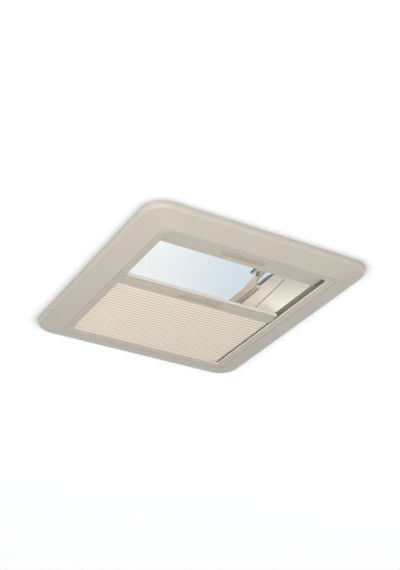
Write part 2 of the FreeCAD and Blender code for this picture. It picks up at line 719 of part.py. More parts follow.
def make_headrails():
    reach = f"({TRACK_MOUTH} - Sizes.fit_gap)"
    gap = "Sizes.fit_gap"
    publish(box("blackout_headrail_box", (f"-{reach}", reach), (HEADRAIL_FACE, HEADRAIL_END),
                (f"{BLACKOUT_FLOOR} + {gap}", f"{BLACKOUT_TOP} - {gap}")), "blackout_headrail")
    publish(box("screen_headrail_box", (f"-{reach}", reach), (f"-{HEADRAIL_END}", f"-{HEADRAIL_FACE}"),
                (f"{SCREEN_FLOOR} + {gap}", f"{SCREEN_TOP} - {gap}")), "screen_headrail")


# Bars. Each has a deep part at its cloth and a thinner lip towards the other blind. The deep part
# is cut away in the middle, where a moulded finger pull is clipped in.

PULL_HALF = "(Sizes.grip_length / 2 + Sizes.grip_end_wall)"


def in_order(facing, first, second):
    """Two Y places with the lower one first, for a bar whose lip looks towards facing."""
    return (first, second) if facing > 0 else (second, first)


def make_bar(name, cloth_edge, facing, floor, top):
    """facing is +1 where the lip looks towards +Y and -1 where it looks towards -Y."""
    body = new_body(f"{name}_body")
    step = f"({cloth_edge} + {facing} * (Sizes.bar_width - Sizes.bar_lip_width))"
    tip = f"({cloth_edge} + {facing} * Sizes.bar_width)"
    lip_floor = f"({floor} + Sizes.bar_lip_step)"
    radius = "Sizes.bar_edge_round"
    middle = f"{radius} * (1 - sqrt(0.5))"
    corners = [
        (f"{cloth_edge} + {facing} * {radius}", floor), (f"{step} - {facing} * {radius}", floor),
        (step, lip_floor), (f"{tip} - {facing} * {radius}", lip_floor),
        (tip, f"{lip_floor} + {radius}"), (tip, f"{top} - {radius}"),
        (f"{tip} - {facing} * {radius}", top), (f"{cloth_edge} + {facing} * {radius}", top),
        (cloth_edge, f"{top} - {radius}"), (cloth_edge, f"{floor} + {radius}"),
    ]
    arcs = {
        3: (f"{tip} - {facing} * {middle}", f"{lip_floor} + {middle}"),
        5: (f"{tip} - {facing} * {middle}", f"{top} - {middle}"),
        7: (f"{cloth_edge} + {facing} * {middle}", f"{top} - {middle}"),
        9: (f"{cloth_edge} + {facing} * {middle}", f"{floor} + {middle}"),
    }
    profile = outline(body, f"{name}_profile", "YZ_Plane", f"-{BAR_HALF}", corners, arcs)
    pad(body, f"{name}_pad", profile, f"2 * {BAR_HALF}")
    notch_half = f"({PULL_HALF} + Sizes.fit_gap)"
    notch = box(f"{name}_notch", (f"-{notch_half}", notch_half), in_order(facing, cloth_edge, step),
                (floor, top))
    publish(cut(f"{name}_cut", body, notch), name)


def make_finger_pull(name, cloth_edge, facing, floor, top):
    """The moulded piece in the middle of a bar, with the recess for the fingertips."""
    body = new_body(f"{name}_body")
    step = f"({cloth_edge} + {facing} * (Sizes.bar_width - Sizes.bar_lip_width))"
    face = f"({step} - {facing} * Sizes.fit_gap)"
    radius = "Sizes.bar_edge_round"
    middle = f"{radius} * (1 - sqrt(0.5))"
    corners = [
        (f"{cloth_edge} + {facing} * {radius}", floor), (f"{face} - {facing} * {radius}", floor),
        (face, f"{floor} + Sizes.bar_lip_step"), (face, top),
        (f"{cloth_edge} + {facing} * {radius}", top),
        (cloth_edge, f"{top} - {radius}"), (cloth_edge, f"{floor} + {radius}"),
    ]
    arcs = {
        4: (f"{cloth_edge} + {facing} * {middle}", f"{top} - {middle}"),
        6: (f"{cloth_edge} + {facing} * {middle}", f"{floor} + {middle}"),
    }
    profile = outline(body, f"{name}_profile", "YZ_Plane", f"-{PULL_HALF}", corners, arcs)
    pad(body, f"{name}_pad", profile, f"2 * {PULL_HALF}")
    near = f"({step} - {facing} * (Sizes.grip_inset + Sizes.grip_width))"
    far = f"({step} - {facing} * Sizes.grip_inset)"
    half = "Sizes.grip_length / 2"
    recess = box(f"{name}_recess", (f"-{half}", half), in_order(facing, near, far),
                 (floor, f"{floor} + Sizes.grip_depth"))
    publish(cut(f"{name}_cut", body, recess), name)


def make_runners(name, cloth_edge, facing, low, high):
    middle = f"({cloth_edge} + {facing} * Sizes.bar_width / 2)"
    half = "Sizes.runner_length / 2"
    block = box(f"{name}_block", (BAR_HALF, f"{BAR_HALF} + Sizes.runner_reach"),
                (f"{middle} - {half}", f"{middle} + {half}"), (low, high))
    publish(group(f"{name}_pair", [block, mirror_x(f"{name}_left", block)]), name)


def make_bars():
    lip = "Sizes.track_lip"
    gap = "Sizes.running_gap"
    make_bar("blackout_bar", size("blackout_bar_y"), -1, BLACKOUT_FLOOR, BLACKOUT_TOP)
    make_bar("screen_bar", SCREEN_BAR_Y, 1, SCREEN_FLOOR, SCREEN_TOP)
    make_finger_pull("blackout_pull", size("blackout_bar_y"), -1, BLACKOUT_FLOOR, BLACKOUT_TOP)
    make_finger_pull("screen_pull", SCREEN_BAR_Y, 1, SCREEN_FLOOR, SCREEN_TOP)
    make_runners("blackout_runners", size("blackout_bar_y"), -1,
                 f"{BLACKOUT_FLOOR} + {lip} + {gap}", f"{BLACKOUT_TOP} - {lip} / 2 - {gap}")
    make_runners("screen_runners", SCREEN_BAR_Y, 1,
                 f"{SCREEN_FLOOR} + {lip} / 2 + {gap}", f"{SLOT_TOP} - {lip} - {gap} - Sizes.fit_gap")


# Pleated cloths: one fold, repeated from the bar to the headrail

def make_pleats(name, start, end, floor, top, pleats, fold_depth):
    """fold_depth is the cloth's thickness measured upright, across a sloping fold."""
    body = new_body(f"{name}_body")
    gap, end_gap = "Sizes.cloth_gap", "Sizes.cloth_end_gap"
    first, last = f"({start} + {end_gap})", f"({end} - {end_gap})"
    low, high = f"({floor} + {gap})", f"({top} - {gap})"
    pitch = f"(({last} - {first}) / {pleats})"
    fold = [
        (first, low), (f"{first} + {pitch} / 2", f"{high} - {fold_depth}"), (f"{first} + {pitch}", low),
        (f"{first} + {pitch}", f"{low} + {fold_depth}"), (f"{first} + {pitch} / 2", high),
        (first, f"{low} + {fold_depth}"),
    ]
    half = f"({BAR_HALF} - Sizes.bar_end_gap)"
    profile = outline(body, f"{name}_fold", "YZ_Plane", f"-{half}", fold)
    one_fold = pad(body, f"{name}_pad", profile, f"2 * {half}")
    pattern = body.newObject("PartDesign::LinearPattern", f"{name}_pattern")
    pattern.Originals = [one_fold]
    pattern.Direction = (profile, ["H_Axis"])
    pattern.setExpression("Length", f"{last} - {first} - {pitch}")
    pattern.setExpression("Occurrences", f"{pleats}")
    body.Tip = pattern
    publish(body, name)


def make_cloths():
    make_pleats("blackout_cloth", size("blackout_bar_y"), HEADRAIL_FACE, BLACKOUT_FLOOR, BLACKOUT_TOP,
                size("blackout_pleats"), size("blackout_fold_depth"))
    make_pleats("screen_cloth", f"-{HEADRAIL_FACE}", SCREEN_BAR_Y, SCREEN_FLOOR, SCREEN_TOP,
                size("screen_pleats"), size("screen_fold_depth"))


# Inner trim: a hollow frame with a rounded rim, a sloping face and a thin lip round the opening.
# The rim's round is a quarter of an ellipse, in straight steps.
RIM_STEPS = 4

def make_inner_trim():
    body = new_body("trim_body")

    def section(name, inset, drop, radius):
        return rounded_rectangle(body, name, f"{TRIM_HALF_X} - ({inset})", f"{TRIM_HALF_Y} - ({inset})",
                                 radius, f"{CEILING} - ({drop})")

    rim_inset, rim_height = size("trim_rim_inset"), size("trim_rim_height")
    face, wall = size("trim_face_width"), size("trim_wall")
    face_drop, face_radius = size("trim_face_drop"), size("trim_face_radius")
    sections = []
    for step in range(RIM_STEPS + 1):
        turn = math.radians(90 * step / RIM_STEPS)
        inset = f"{rim_inset} * {1 - math.cos(turn)}"
        sections.append(section(f"trim_rim_{step}", inset, f"{rim_height} * {math.sin(turn)}",
                                f"Sizes.trim_radius - {inset}"))
    sections.append(section("trim_face_edge", face, face_drop, face_radius))
    loft(body, "trim_shell", "Additive", sections)
    lip_top = "(Sizes.trim_lip_drop - Sizes.trim_lip_thickness)"
    loft(body, "trim_hollow", "Subtractive", [
        section("hollow_back", wall, "0", f"Sizes.trim_radius - {wall}"),
        section("hollow_rim_edge", f"{rim_inset} + {wall}", f"{rim_height} - {wall}",
                f"Sizes.trim_radius - {rim_inset} - {wall}"),
        section("hollow_face_edge", f"{face} - {wall}", lip_top, f"{face_radius} + {wall}"),
    ])
    seat_gap = "Sizes.fit_gap"
    seat = rounded_rectangle(body, "trim_seat", f"{BLIND_HALF_X} + {seat_gap}",
                             f"{BLIND_HALF_Y} + {seat_gap}", f"Sizes.blind_radius + {seat_gap}", CEILING)
    pocket(body, "trim_seat_pocket", seat, lip_top)
    loft(body, "trim_bevel", "Subtractive", [
        section("bevel_outer", f"{face} + Sizes.trim_crease", face_drop, face_radius),
        section("bevel_inner", TRIM_EDGE, size("trim_lip_drop"), size("trim_opening_radius")),
    ])
    opening = section("trim_opening", TRIM_EDGE, "0", size("trim_opening_radius"))
    pocket_through(body, "trim_pocket", opening)
    publish(body, "inner_trim")


# Dome: an inner pan and an outer crown, joined at their flanges inside an edge trim

CROWN_STEPS = 6


def crown_sections(body, name, foot_half, foot_level, top_level, foot_radius):
    """The crown draws in with its height, steeply at first and flat at the top."""
    sections = []
    for step in range(CROWN_STEPS + 1):
        share = math.sin(math.radians(90 * step / CROWN_STEPS))
        bulge = math.sqrt(1 - share ** 3)
        half = f"({foot_half}) * (Sizes.crown_flat_share + (1 - Sizes.crown_flat_share) * {bulge})"
        radius = f"({foot_radius}) * (Sizes.crown_corner_share + (1 - Sizes.crown_corner_share) * {bulge})"
        level = f"({foot_level}) + (({top_level}) - ({foot_level})) * {share}"
        sections.append(rounded_rectangle(body, f"{name}_{step}", half, half, radius, level))
    return sections


def make_dome():
    skin = "Sizes.skin_thickness"
    body = new_body("pan_body")
    flange = rounded_rectangle(body, "pan_flange", SKIN_EDGE, SKIN_EDGE,
                               "Sizes.dome_radius", DOME_FLOOR)
    pad(body, "pan_flange_pad", flange, skin)
    foot, top = f"({UPSTAND_OUTER} - Sizes.pan_inset)", f"({UPSTAND_OUTER} - Sizes.pan_top_inset)"
    loft(body, "pan_raise", "Additive", [
        rounded_rectangle(body, "pan_foot", foot, foot, size("pan_radius"), DOME_FLOOR),
        rounded_rectangle(body, "pan_roof", top, top, size("pan_radius"), PAN_TOP),
    ])
    loft(body, "pan_hollow", "Subtractive", [
        rounded_rectangle(body, "pan_hollow_foot", f"{foot} - {skin}", f"{foot} - {skin}",
                          f"Sizes.pan_radius - {skin}", DOME_FLOOR),
        rounded_rectangle(body, "pan_hollow_roof", f"{top} - {skin}", f"{top} - {skin}",
                          f"Sizes.pan_radius - {skin}", PAN_UNDERSIDE),
    ])
    publish(body, "dome_inner_skin")

    crown = new_body("crown_body")
    flange = rounded_rectangle(crown, "crown_flange", SKIN_EDGE, SKIN_EDGE,
                               "Sizes.dome_radius", INNER_SKIN_TOP)
    pad(crown, "crown_flange_pad", flange, skin)
    crown_foot = f"({DOME_HALF} - Sizes.crown_foot_inset)"
    loft(crown, "crown_raise", "Additive",
         crown_sections(crown, "crown", crown_foot, INNER_SKIN_TOP, CROWN_TOP, size("dome_radius")))
    loft(crown, "crown_hollow", "Subtractive",
         crown_sections(crown, "crown_hollow", f"{crown_foot} - {skin}", INNER_SKIN_TOP,
                        f"{CROWN_TOP} - {skin}", f"Sizes.dome_radius - {skin}"))
    publish(crown, "dome_outer_skin")

    reach, lip = "Sizes.edge_trim_reach", "Sizes.edge_trim_lip"
    inner = f"({DOME_HALF} - {reach})"
    outer_radius = "(Sizes.dome_radius + Sizes.edge_trim_wall)"
    clip = ring("edge_trim_ring", (DOME_HALF, DOME_HALF, outer_radius),
                (inner, inner, f"{outer_radius} - {reach}"),
                f"{DOME_FLOOR} - {lip}", f"{OUTER_SKIN_TOP} + {lip}")
    slot = slab("edge_trim_slot", (SKIN_EDGE, SKIN_EDGE, size("dome_radius")),
                DOME_FLOOR, OUTER_SKIN_TOP)
    publish(cut("edge_trim_cut", clip, slot), "dome_edge_trim")


# Hinges at the far side: a bracket on the flange, a leaf under the dome and a pin

def make_hinges():
    pins = []
    for side, sign in SIDES.items():
        middle = f"({sign} * {HINGE_X})"
        radius = size("hinge_knuckle_radius")
        length_half = "Sizes.hinge_base_length / 2"
        base = box(f"hinge_base_{side}", (f"{middle} - {EAR_OUTER}", f"{middle} + {EAR_OUTER}"),
                   (f"{HINGE_Y} - {length_half}", f"{HINGE_Y} + {length_half}"),
                   (FLANGE_TOP, f"{FLANGE_TOP} + Sizes.hinge_base_thickness"))
        pieces = [base]
        ears = (("inner", f"-{EAR_OUTER}", f"-{EAR_INNER}"), ("outer", EAR_INNER, EAR_OUTER))
        for edge, low, high in ears:
            pieces.append(box(f"hinge_ear_{edge}_{side}", (f"{middle} + {low}", f"{middle} + {high}"),
                              (f"{HINGE_Y} - {radius}", f"{HINGE_Y} + {radius}"),
                              (FLANGE_TOP, HINGE_LEVEL)))
            pieces.append(rod(f"hinge_eye_{edge}_{side}", "x", f"{middle} + {low}", HINGE_Y,
                              HINGE_LEVEL, radius, size("hinge_ear")))
        bore = rod(f"hinge_bore_{side}", "x", f"{middle} - {EAR_OUTER}", HINGE_Y, HINGE_LEVEL,
                   "Sizes.hinge_pin_radius + Sizes.pin_clearance", f"2 * {EAR_OUTER}")
        bracket = fuse(f"hinge_bracket_block_{side}", pieces)
        publish(cut(f"hinge_bracket_cut_{side}", bracket, bore), f"hinge_bracket_{side}")

        half = "Sizes.hinge_knuckle_width / 2"
        knuckle = rod(f"hinge_knuckle_{side}", "x", f"{middle} - {half}", HINGE_Y, HINGE_LEVEL,
                      radius, size("hinge_knuckle_width"))
        neck = box(f"hinge_neck_{side}", (f"{middle} - {half}", f"{middle} + {half}"),
                   (f"{HINGE_Y} - Sizes.hinge_neck_width / 2", f"{HINGE_Y} + Sizes.hinge_neck_width / 2"),
                   (HINGE_LEVEL, DOME_FLOOR))
        leaf_pad = box(f"hinge_pad_{side}", (f"{middle} - {half}", f"{middle} + {half}"),
                       (f"{HINGE_Y} - {length_half}", f"{HINGE_Y} + {length_half}"),
                       (f"{DOME_FLOOR} - Sizes.hinge_pad_thickness", DOME_FLOOR))
        leaf_bore = rod(f"hinge_leaf_bore_{side}", "x", f"{middle} - {half}", HINGE_Y,
                        HINGE_LEVEL, "Sizes.hinge_pin_radius + Sizes.pin_clearance",
                        size("hinge_knuckle_width"))
        leaf = fuse(f"hinge_leaf_block_{side}", [knuckle, neck, leaf_pad])
        publish(cut(f"hinge_leaf_cut_{side}", leaf, leaf_bore), f"hinge_leaf_{side}")

        shank = rod(f"hinge_pin_shank_{side}", "x", f"{middle} - {EAR_OUTER}", HINGE_Y,
                    HINGE_LEVEL, size("hinge_pin_radius"), f"2 * {EAR_OUTER}")
        starts = {"inner": f"(-{EAR_OUTER} - Sizes.pin_head_height)", "outer": EAR_OUTER}
        heads = [rod(f"hinge_pin_head_{edge}_{side}", "x", f"{middle} + {start}", HINGE_Y,
                     HINGE_LEVEL, size("pin_head_radius"), size("pin_head_height"))
                 for edge, start in starts.items()]
        pins.append(fuse(f"hinge_pin_{side}", [shank] + heads))
    publish(group("hinge_pin_pair", pins), "hinge_pins")


# Rails on the upstand: a C channel open towards the well, notched along its upper lip

def make_rails():
    body = new_body("rail_body")
    wall = "Sizes.rail_wall"
    inner, outer = RAIL_INNER_X, RAIL_OUTER_X
    slot_low = f"({HINGE_LEVEL} - Sizes.rail_slot / 2)"
    slot_high = f"({HINGE_LEVEL} + Sizes.rail_slot / 2)"
    points = [
        (inner, RAIL_FLOOR), (outer, RAIL_FLOOR), (outer, RAIL_ROOF), (inner, RAIL_ROOF),
        (inner, slot_high), (f"{inner} + {wall}", slot_high), (f"{inner} + {wall}", f"{RAIL_ROOF} - {wall}"),
        (f"{outer} - {wall}", f"{RAIL_ROOF} - {wall}"), (f"{outer} - {wall}", f"{RAIL_FLOOR} + {wall}"),
        (f"{inner} + {wall}", f"{RAIL_FLOOR} + {wall}"), (f"{inner} + {wall}", slot_low), (inner, slot_low),
    ]
    profile = outline(body, "rail_profile", "XZ_Plane", f"-({RAIL_FAR_END})", points)
    pad(body, "rail_pad", profile, f"{RAIL_FAR_END} - {RAIL_NEAR_END}")
    notches = []
    for index in range(int(value_of(size("notch_count")))):
        middle = f"({SHOE_Y} + {index} * Sizes.notch_spacing)"
        notches.append(box(f"rail_notch_{index}", (inner, f"{inner} + {wall}"),
                           (f"{middle} - Sizes.notch_width / 2", f"{middle} + Sizes.notch_width / 2"),
                           (slot_high, f"{RAIL_ROOF} - {wall}")))
    publish_pair(cut("rail_cut", body, fuse("rail_notches", notches)), "rail")


# Stays: flat bars from the dome's bracket down to the shoes in the rails

def make_stays():
    body = new_body("stay_body")
    half = "(Sizes.stay_width / 2)"
    along = f"({STAY_REACH} / {STAY_LENGTH})"
    rise = f"(Sizes.stay_rise / {STAY_LENGTH})"
    points = [
        (f"{SHOE_Y} + {rise} * {half}", f"{HINGE_LEVEL} - {along} * {half}"),
        (f"{STAY_PIVOT_Y} + {rise} * {half}", f"{STAY_PIVOT_LEVEL} - {along} * {half}"),
        (f"{STAY_PIVOT_Y} - {rise} * {half}", f"{STAY_PIVOT_LEVEL} + {along} * {half}"),
        (f"{SHOE_Y} - {rise} * {half}", f"{HINGE_LEVEL} + {along} * {half}"),
    ]
    profile = outline(body, "stay_profile", "YZ_Plane", STAY_INNER_X, points)
    pad(body, "stay_pad", profile, size("stay_thickness"))
    ends = [("pivot", STAY_PIVOT_Y, STAY_PIVOT_LEVEL), ("shoe", SHOE_Y, HINGE_LEVEL)]
    eyes = [rod(f"stay_eye_{name}", "x", STAY_INNER_X, y, z, half, size("stay_thickness"))
            for name, y, z in ends]
    holes = [rod(f"stay_hole_{name}", "x", STAY_INNER_X, y, z,
                 "Sizes.stay_pin_radius + Sizes.pin_clearance", size("stay_thickness"))
             for name, y, z in ends]
    publish_pair(cut("stay_cut", fuse("stay_block", [body] + eyes), fuse("stay_holes", holes)), "stay")


def make_shoes():
    gap, wall = "Sizes.shoe_gap", "Sizes.rail_wall"
    inner = f"({RAIL_INNER_X} + {wall} + {gap})"
    outer = f"({RAIL_OUTER_X} - {wall} - {gap})"
    half = "Sizes.shoe_length / 2"
    block = box("shoe_block", (inner, outer), (f"{SHOE_Y} - {half}", f"{SHOE_Y} + {half}"),
                (f"{RAIL_FLOOR} + {wall} + {gap}", f"{RAIL_ROOF} - {wall} - {gap}"))
    hole = rod("shoe_hole", "x", inner, SHOE_Y, HINGE_LEVEL,
               "Sizes.stay_pin_radius + Sizes.pin_clearance", f"{outer} - {inner}")
    publish_pair(cut("shoe_cut", block, hole), "shoe")
    head_start = f"({STAY_INNER_X} - Sizes.pin_head_height)"
    shank = rod("shoe_pin_shank", "x", head_start, SHOE_Y, HINGE_LEVEL,
                size("stay_pin_radius"), f"{outer} - {head_start}")
    head = rod("shoe_pin_head", "x", head_start, SHOE_Y, HINGE_LEVEL,
               size("pin_head_radius"), size("pin_head_height"))
    publish_pair(fuse("shoe_pin_block", [shank, head]), "shoe_pin")


# Brackets under the inner skin, each on a pad. The lug carries the stay outside it and the bow
# inside it.

def make_dome_brackets():
    plate_top = f"({PAN_UNDERSIDE} - Sizes.bracket_pad_thickness)"
    plate_floor = f"({plate_top} - Sizes.dome_bracket_plate)"
    outer_x = f"({LUG_OUTER_X} + Sizes.dome_bracket_lip)"
    near = f"({STAY_PIVOT_Y} - Sizes.dome_bracket_ahead)"
    far = f"({near} + Sizes.dome_bracket_length)"
    inner_x = f"({outer_x} - Sizes.dome_bracket_width)"
    plate = box("bracket_foot", (inner_x, outer_x), (near, far), (plate_floor, plate_top))
    pad_block = box("bracket_pad_block", (f"{inner_x} - Sizes.bracket_pad_edge", outer_x), (near, far),
                    (plate_top, PAN_UNDERSIDE))
    publish_pair(pad_block, "bracket_pad")
    body = new_body("lug_body")
    eye = "Sizes.lug_eye_radius"
    bow_y, bow_z = BOW_PIVOT_Y, BOW_PIVOT_LEVEL
    stay_y, stay_z = STAY_PIVOT_Y, STAY_PIVOT_LEVEL
    corners = [
        (near, plate_floor), (f"{bow_y} - {eye}", bow_z), (bow_y, f"{bow_z} - {eye}"),
        (f"{stay_y} + {eye} * sqrt(0.5)", f"{stay_z} - {eye} * sqrt(0.5)"),
        (far, plate_floor),
    ]
    arcs = {1: (f"{bow_y} - {eye} * sqrt(0.5)", f"{bow_z} - {eye} * sqrt(0.5)")}
    profile = outline(body, "lug_profile", "YZ_Plane", LUG_INNER_X, corners, arcs)
    pad(body, "lug_pad", profile, size("lug_thickness"))
    holes = [
        rod("lug_hole_bow", "x", LUG_INNER_X, BOW_PIVOT_Y, BOW_PIVOT_LEVEL,
            "Sizes.bow_pin_radius + Sizes.pin_clearance", size("lug_thickness")),
        rod("lug_hole_stay", "x", LUG_INNER_X, STAY_PIVOT_Y, STAY_PIVOT_LEVEL,
            "Sizes.stay_pin_radius + Sizes.pin_clearance", size("lug_thickness")),
    ]
    bracket = cut("bracket_cut", fuse("bracket_block", [plate, body]), fuse("lug_holes", holes))
    publish_pair(bracket, "dome_bracket")


def make_pivot_pins():
    head = size("pin_head_height")
    shank = rod("stay_pin_shank", "x", LUG_INNER_X, STAY_PIVOT_Y, STAY_PIVOT_LEVEL,
                size("stay_pin_radius"), f"{STAY_OUTER_X} + {head} - {LUG_INNER_X}")
    cap = rod("stay_pin_cap", "x", STAY_OUTER_X, STAY_PIVOT_Y, STAY_PIVOT_LEVEL,
              size("pin_head_radius"), head)
    stay_pin = fuse("stay_pin", [shank, cap])
    publish(group("stay_pin_pair", [stay_pin, mirror_x("stay_pin_left", stay_pin)]), "stay_pivot_pins")
    start = f"({BOW_INNER_X} - Sizes.bow_knob_gap - Sizes.bow_knob_height)"
    shank = rod("bow_pin_shank", "x", start, BOW_PIVOT_Y, BOW_PIVOT_LEVEL,
                size("bow_pin_radius"), f"{LUG_OUTER_X} - {start}")
    knob = rod("bow_knob", "x", start, BOW_PIVOT_Y, BOW_PIVOT_LEVEL,
               size("bow_knob_radius"), size("bow_knob_height"))
    bow_pin = fuse("bow_pin", [shank, knob])
    publish(group("bow_pin_pair", [bow_pin, mirror_x("bow_pin_left", bow_pin)]), "bow_pivot_pins")


# Handle bow: two arms, a cross tube and a soft grip on it

def make_bow():
    body = new_body("bow_arm_body")
    pivot_y, pivot_z = BOW_PIVOT_Y, BOW_PIVOT_LEVEL
    tube_y, tube_z = BOW_TUBE_Y, BOW_TUBE_LEVEL
    eye, hollow = "Sizes.bow_eye_radius", "Sizes.bow_neck_hollow"
    heel_y = f"({pivot_y} + Sizes.bow_heel_reach)"
    corners = [
        (pivot_y, f"{pivot_z} - {eye}"), (heel_y, BEAM_FLOOR), (tube_y, BEAM_FLOOR), (tube_y, BEAM_TOP),
        (f"{pivot_y} + Sizes.bow_shoulder_reach", BEAM_TOP), (pivot_y, f"{pivot_z} + {eye}"),
    ]
    arcs = {
        0: (f"({pivot_y} + {heel_y}) / 2 + {hollow}",
            f"({pivot_z} - {eye} + {BEAM_FLOOR}) / 2 + {hollow}"),
        2: (f"{tube_y} + Sizes.bow_beam_height / 2", tube_z),
        5: (f"{pivot_y} - {eye}", pivot_z),
    }
    profile = outline(body, "bow_arm_profile", "YZ_Plane", BOW_INNER_X, corners, arcs)
    pad(body, "bow_arm_pad", profile, size("bow_arm_thickness"))
    hole = rod("bow_arm_hole", "x", BOW_INNER_X, pivot_y, pivot_z,
               "Sizes.bow_pin_radius + Sizes.pin_clearance", size("bow_arm_thickness"))
    publish_pair(cut("bow_arm_cut", body, hole), "bow_arm")

    tube = rod("bow_tube_rod", "x", f"-{BOW_INNER_X}", tube_y, tube_z,
               size("bow_tube_radius"), f"2 * {BOW_INNER_X}")
    publish(tube, "bow_tube")
    sleeve = rod("bow_grip_rod", "x", "-Sizes.bow_grip_length / 2", tube_y, tube_z,
                 size("bow_grip_radius"), size("bow_grip_length"))
    bore = rod("bow_grip_bore", "x", "-Sizes.bow_grip_length / 2", tube_y, tube_z,
               size("bow_tube_radius"), size("bow_grip_length"))
    publish(cut("bow_grip_cut", sleeve, bore), "bow_grip")


# Clamp claws under the ceiling and the screws that draw them up

def make_claw(name, offset):
    half = "Sizes.claw_width / 2"
    across = (f"{offset} - {half}", f"{offset} + {half}")
    leg_inner = f"({UPSTAND_INNER} - Sizes.upstand_wall)"
    leg_outer = f"({leg_inner} + Sizes.claw_sheet)"
    foot_top = f"({CEILING} - Sizes.ceiling_gap)"
    tab_top = f"({CEILING} + Sizes.claw_rise)"
    tab = box(f"claw_tab_{name}", (f"{UPSTAND_INNER} - Sizes.boss_reach", leg_outer), across,
              (f"{tab_top} - Sizes.claw_sheet", tab_top))
    leg = box(f"claw_leg_{name}", (leg_inner, leg_outer), across,
              (f"{foot_top} - Sizes.claw_sheet", tab_top))
    foot = box(f"claw_foot_{name}", (leg_inner, f"{CUTOUT_HALF} + Sizes.claw_reach"), across,
               (f"{foot_top} - Sizes.claw_sheet", foot_top))
    hole = rod(f"claw_hole_{name}", "z", CLAW_SCREW_R, offset, f"{tab_top} - Sizes.claw_sheet",
               "Sizes.claw_screw_radius + Sizes.fit_gap", size("claw_sheet"))
    return cut(f"claw_{name}", fuse(f"claw_block_{name}", [tab, leg, foot]), hole)


def make_claw_screw(name, offset):
    tab_floor = f"({CEILING} + Sizes.claw_rise - Sizes.claw_sheet)"
    shank = rod(f"claw_shank_{name}", "z", CLAW_SCREW_R, offset, tab_floor, size("claw_screw_radius"),
                f"Sizes.claw_screw_grip - Sizes.spigot_depth - {tab_floor}")
    head = rod(f"claw_head_{name}", "z", CLAW_SCREW_R, offset, f"{tab_floor} - Sizes.claw_head_height",
               size("claw_head_radius"), size("claw_head_height"))
    return fuse(f"claw_screw_{name}", [shank, head])


def make_claws():
    publish(group("claw_set", for_each_claw(make_claw)), "clamp_claws")
    publish(group("claw_screw_set", for_each_claw(make_claw_screw)), "clamp_screws")


make_outer_frame()
make_rail_brackets()
make_frame_shroud()
make_seals()
make_light_well()
make_blind_frame()
make_tracks()
make_headrails()
make_bars()
make_cloths()
make_inner_trim()
make_dome()
make_hinges()
make_rails()
make_stays()
make_shoes()
make_dome_brackets()
make_pivot_pins()
make_bow()
make_claws()
doc.recompute()

for item in doc.Objects:
    if "Invalid" in item.State or "Error" in item.State:
        raise RuntimeError(f"{item.Label} failed: {item.State}")
for name, node in parts.items():
    if node.Shape.isNull() or not node.Shape.isValid():
        raise RuntimeError(f"{name} has no valid shape")

os.makedirs("parts", exist_ok=True)
for name, node in parts.items():
    node.Shape.exportStep(f"parts/{name}.step")
    bounds = node.Shape.BoundBox
    print(f"{name}: {len(node.Shape.Solids)} solids, {node.Shape.Volume / 1000:.1f} cm3, "
          f"x {bounds.XMin:.1f} {bounds.XMax:.1f}, y {bounds.YMin:.1f} {bounds.YMax:.1f}, "
          f"z {bounds.ZMin:.1f} {bounds.ZMax:.1f}")
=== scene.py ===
# %% [markdown]
# A roof skylight for a camper, seen from inside the vehicle, below the ceiling.
# The packed CAD model gives every place and size. Blender adds what the solids leave out:
# soft edges, real folds, screw threads, clear acrylic, brushed steel and daylight.

import json
import math

import bmesh
import bpy
from mathutils import Matrix, Vector


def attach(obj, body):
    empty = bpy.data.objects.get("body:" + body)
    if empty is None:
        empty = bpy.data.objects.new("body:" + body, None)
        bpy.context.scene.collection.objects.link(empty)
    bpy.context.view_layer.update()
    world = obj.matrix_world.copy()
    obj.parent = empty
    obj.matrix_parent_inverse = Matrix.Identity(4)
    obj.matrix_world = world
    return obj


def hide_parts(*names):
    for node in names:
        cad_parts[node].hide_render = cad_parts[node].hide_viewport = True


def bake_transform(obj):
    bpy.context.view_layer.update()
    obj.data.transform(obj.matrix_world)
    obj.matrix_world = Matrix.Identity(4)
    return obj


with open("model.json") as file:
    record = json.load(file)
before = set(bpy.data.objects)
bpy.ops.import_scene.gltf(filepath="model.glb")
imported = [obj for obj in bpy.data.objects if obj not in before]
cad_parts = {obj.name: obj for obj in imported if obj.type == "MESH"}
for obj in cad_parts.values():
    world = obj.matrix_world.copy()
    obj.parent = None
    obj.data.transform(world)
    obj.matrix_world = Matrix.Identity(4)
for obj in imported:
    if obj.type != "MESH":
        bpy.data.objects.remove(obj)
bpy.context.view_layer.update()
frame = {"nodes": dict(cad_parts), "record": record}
MM = 0.001

# %% [markdown]
# The photograph looks up at the ceiling from the near left. Its camera was worked out from the
# straight edges of the trim, the blinds' bars and the window: a long lens, about two metres away,
# thirty degrees below the ceiling and thirty degrees to the side.

# %% Camera
CAMERA_PLACE = Vector((-0.9514, -1.6957, -1.1321))
CAMERA_BACK = Vector((-0.4286, -0.7546, -0.4970))
SENSOR = 36.0
PHOTO_HEIGHT = 570
FOCAL_PIXELS = 1106

lens = bpy.data.cameras.new("photo_lens")
lens.sensor_width = SENSOR
lens.lens = FOCAL_PIXELS / PHOTO_HEIGHT * SENSOR
lens.clip_end = 100.0
camera = bpy.data.objects.new("photo_camera", lens)
camera.location = CAMERA_PLACE
camera.rotation_euler = CAMERA_BACK.to_track_quat("Z", "Y").to_euler()
bpy.context.scene.collection.objects.link(camera)
bpy.context.scene.camera = camera
print("lens:", round(lens.lens, 2), "mm")

# %% [markdown]
# Node trees get long when every node and link is spelled out. Two small classes keep them short.
# Wire stands for one output of a node, and Python's own operators on it add Math nodes.
# Tree adds any other node in one call: its type, its settings, then the values of its sockets.

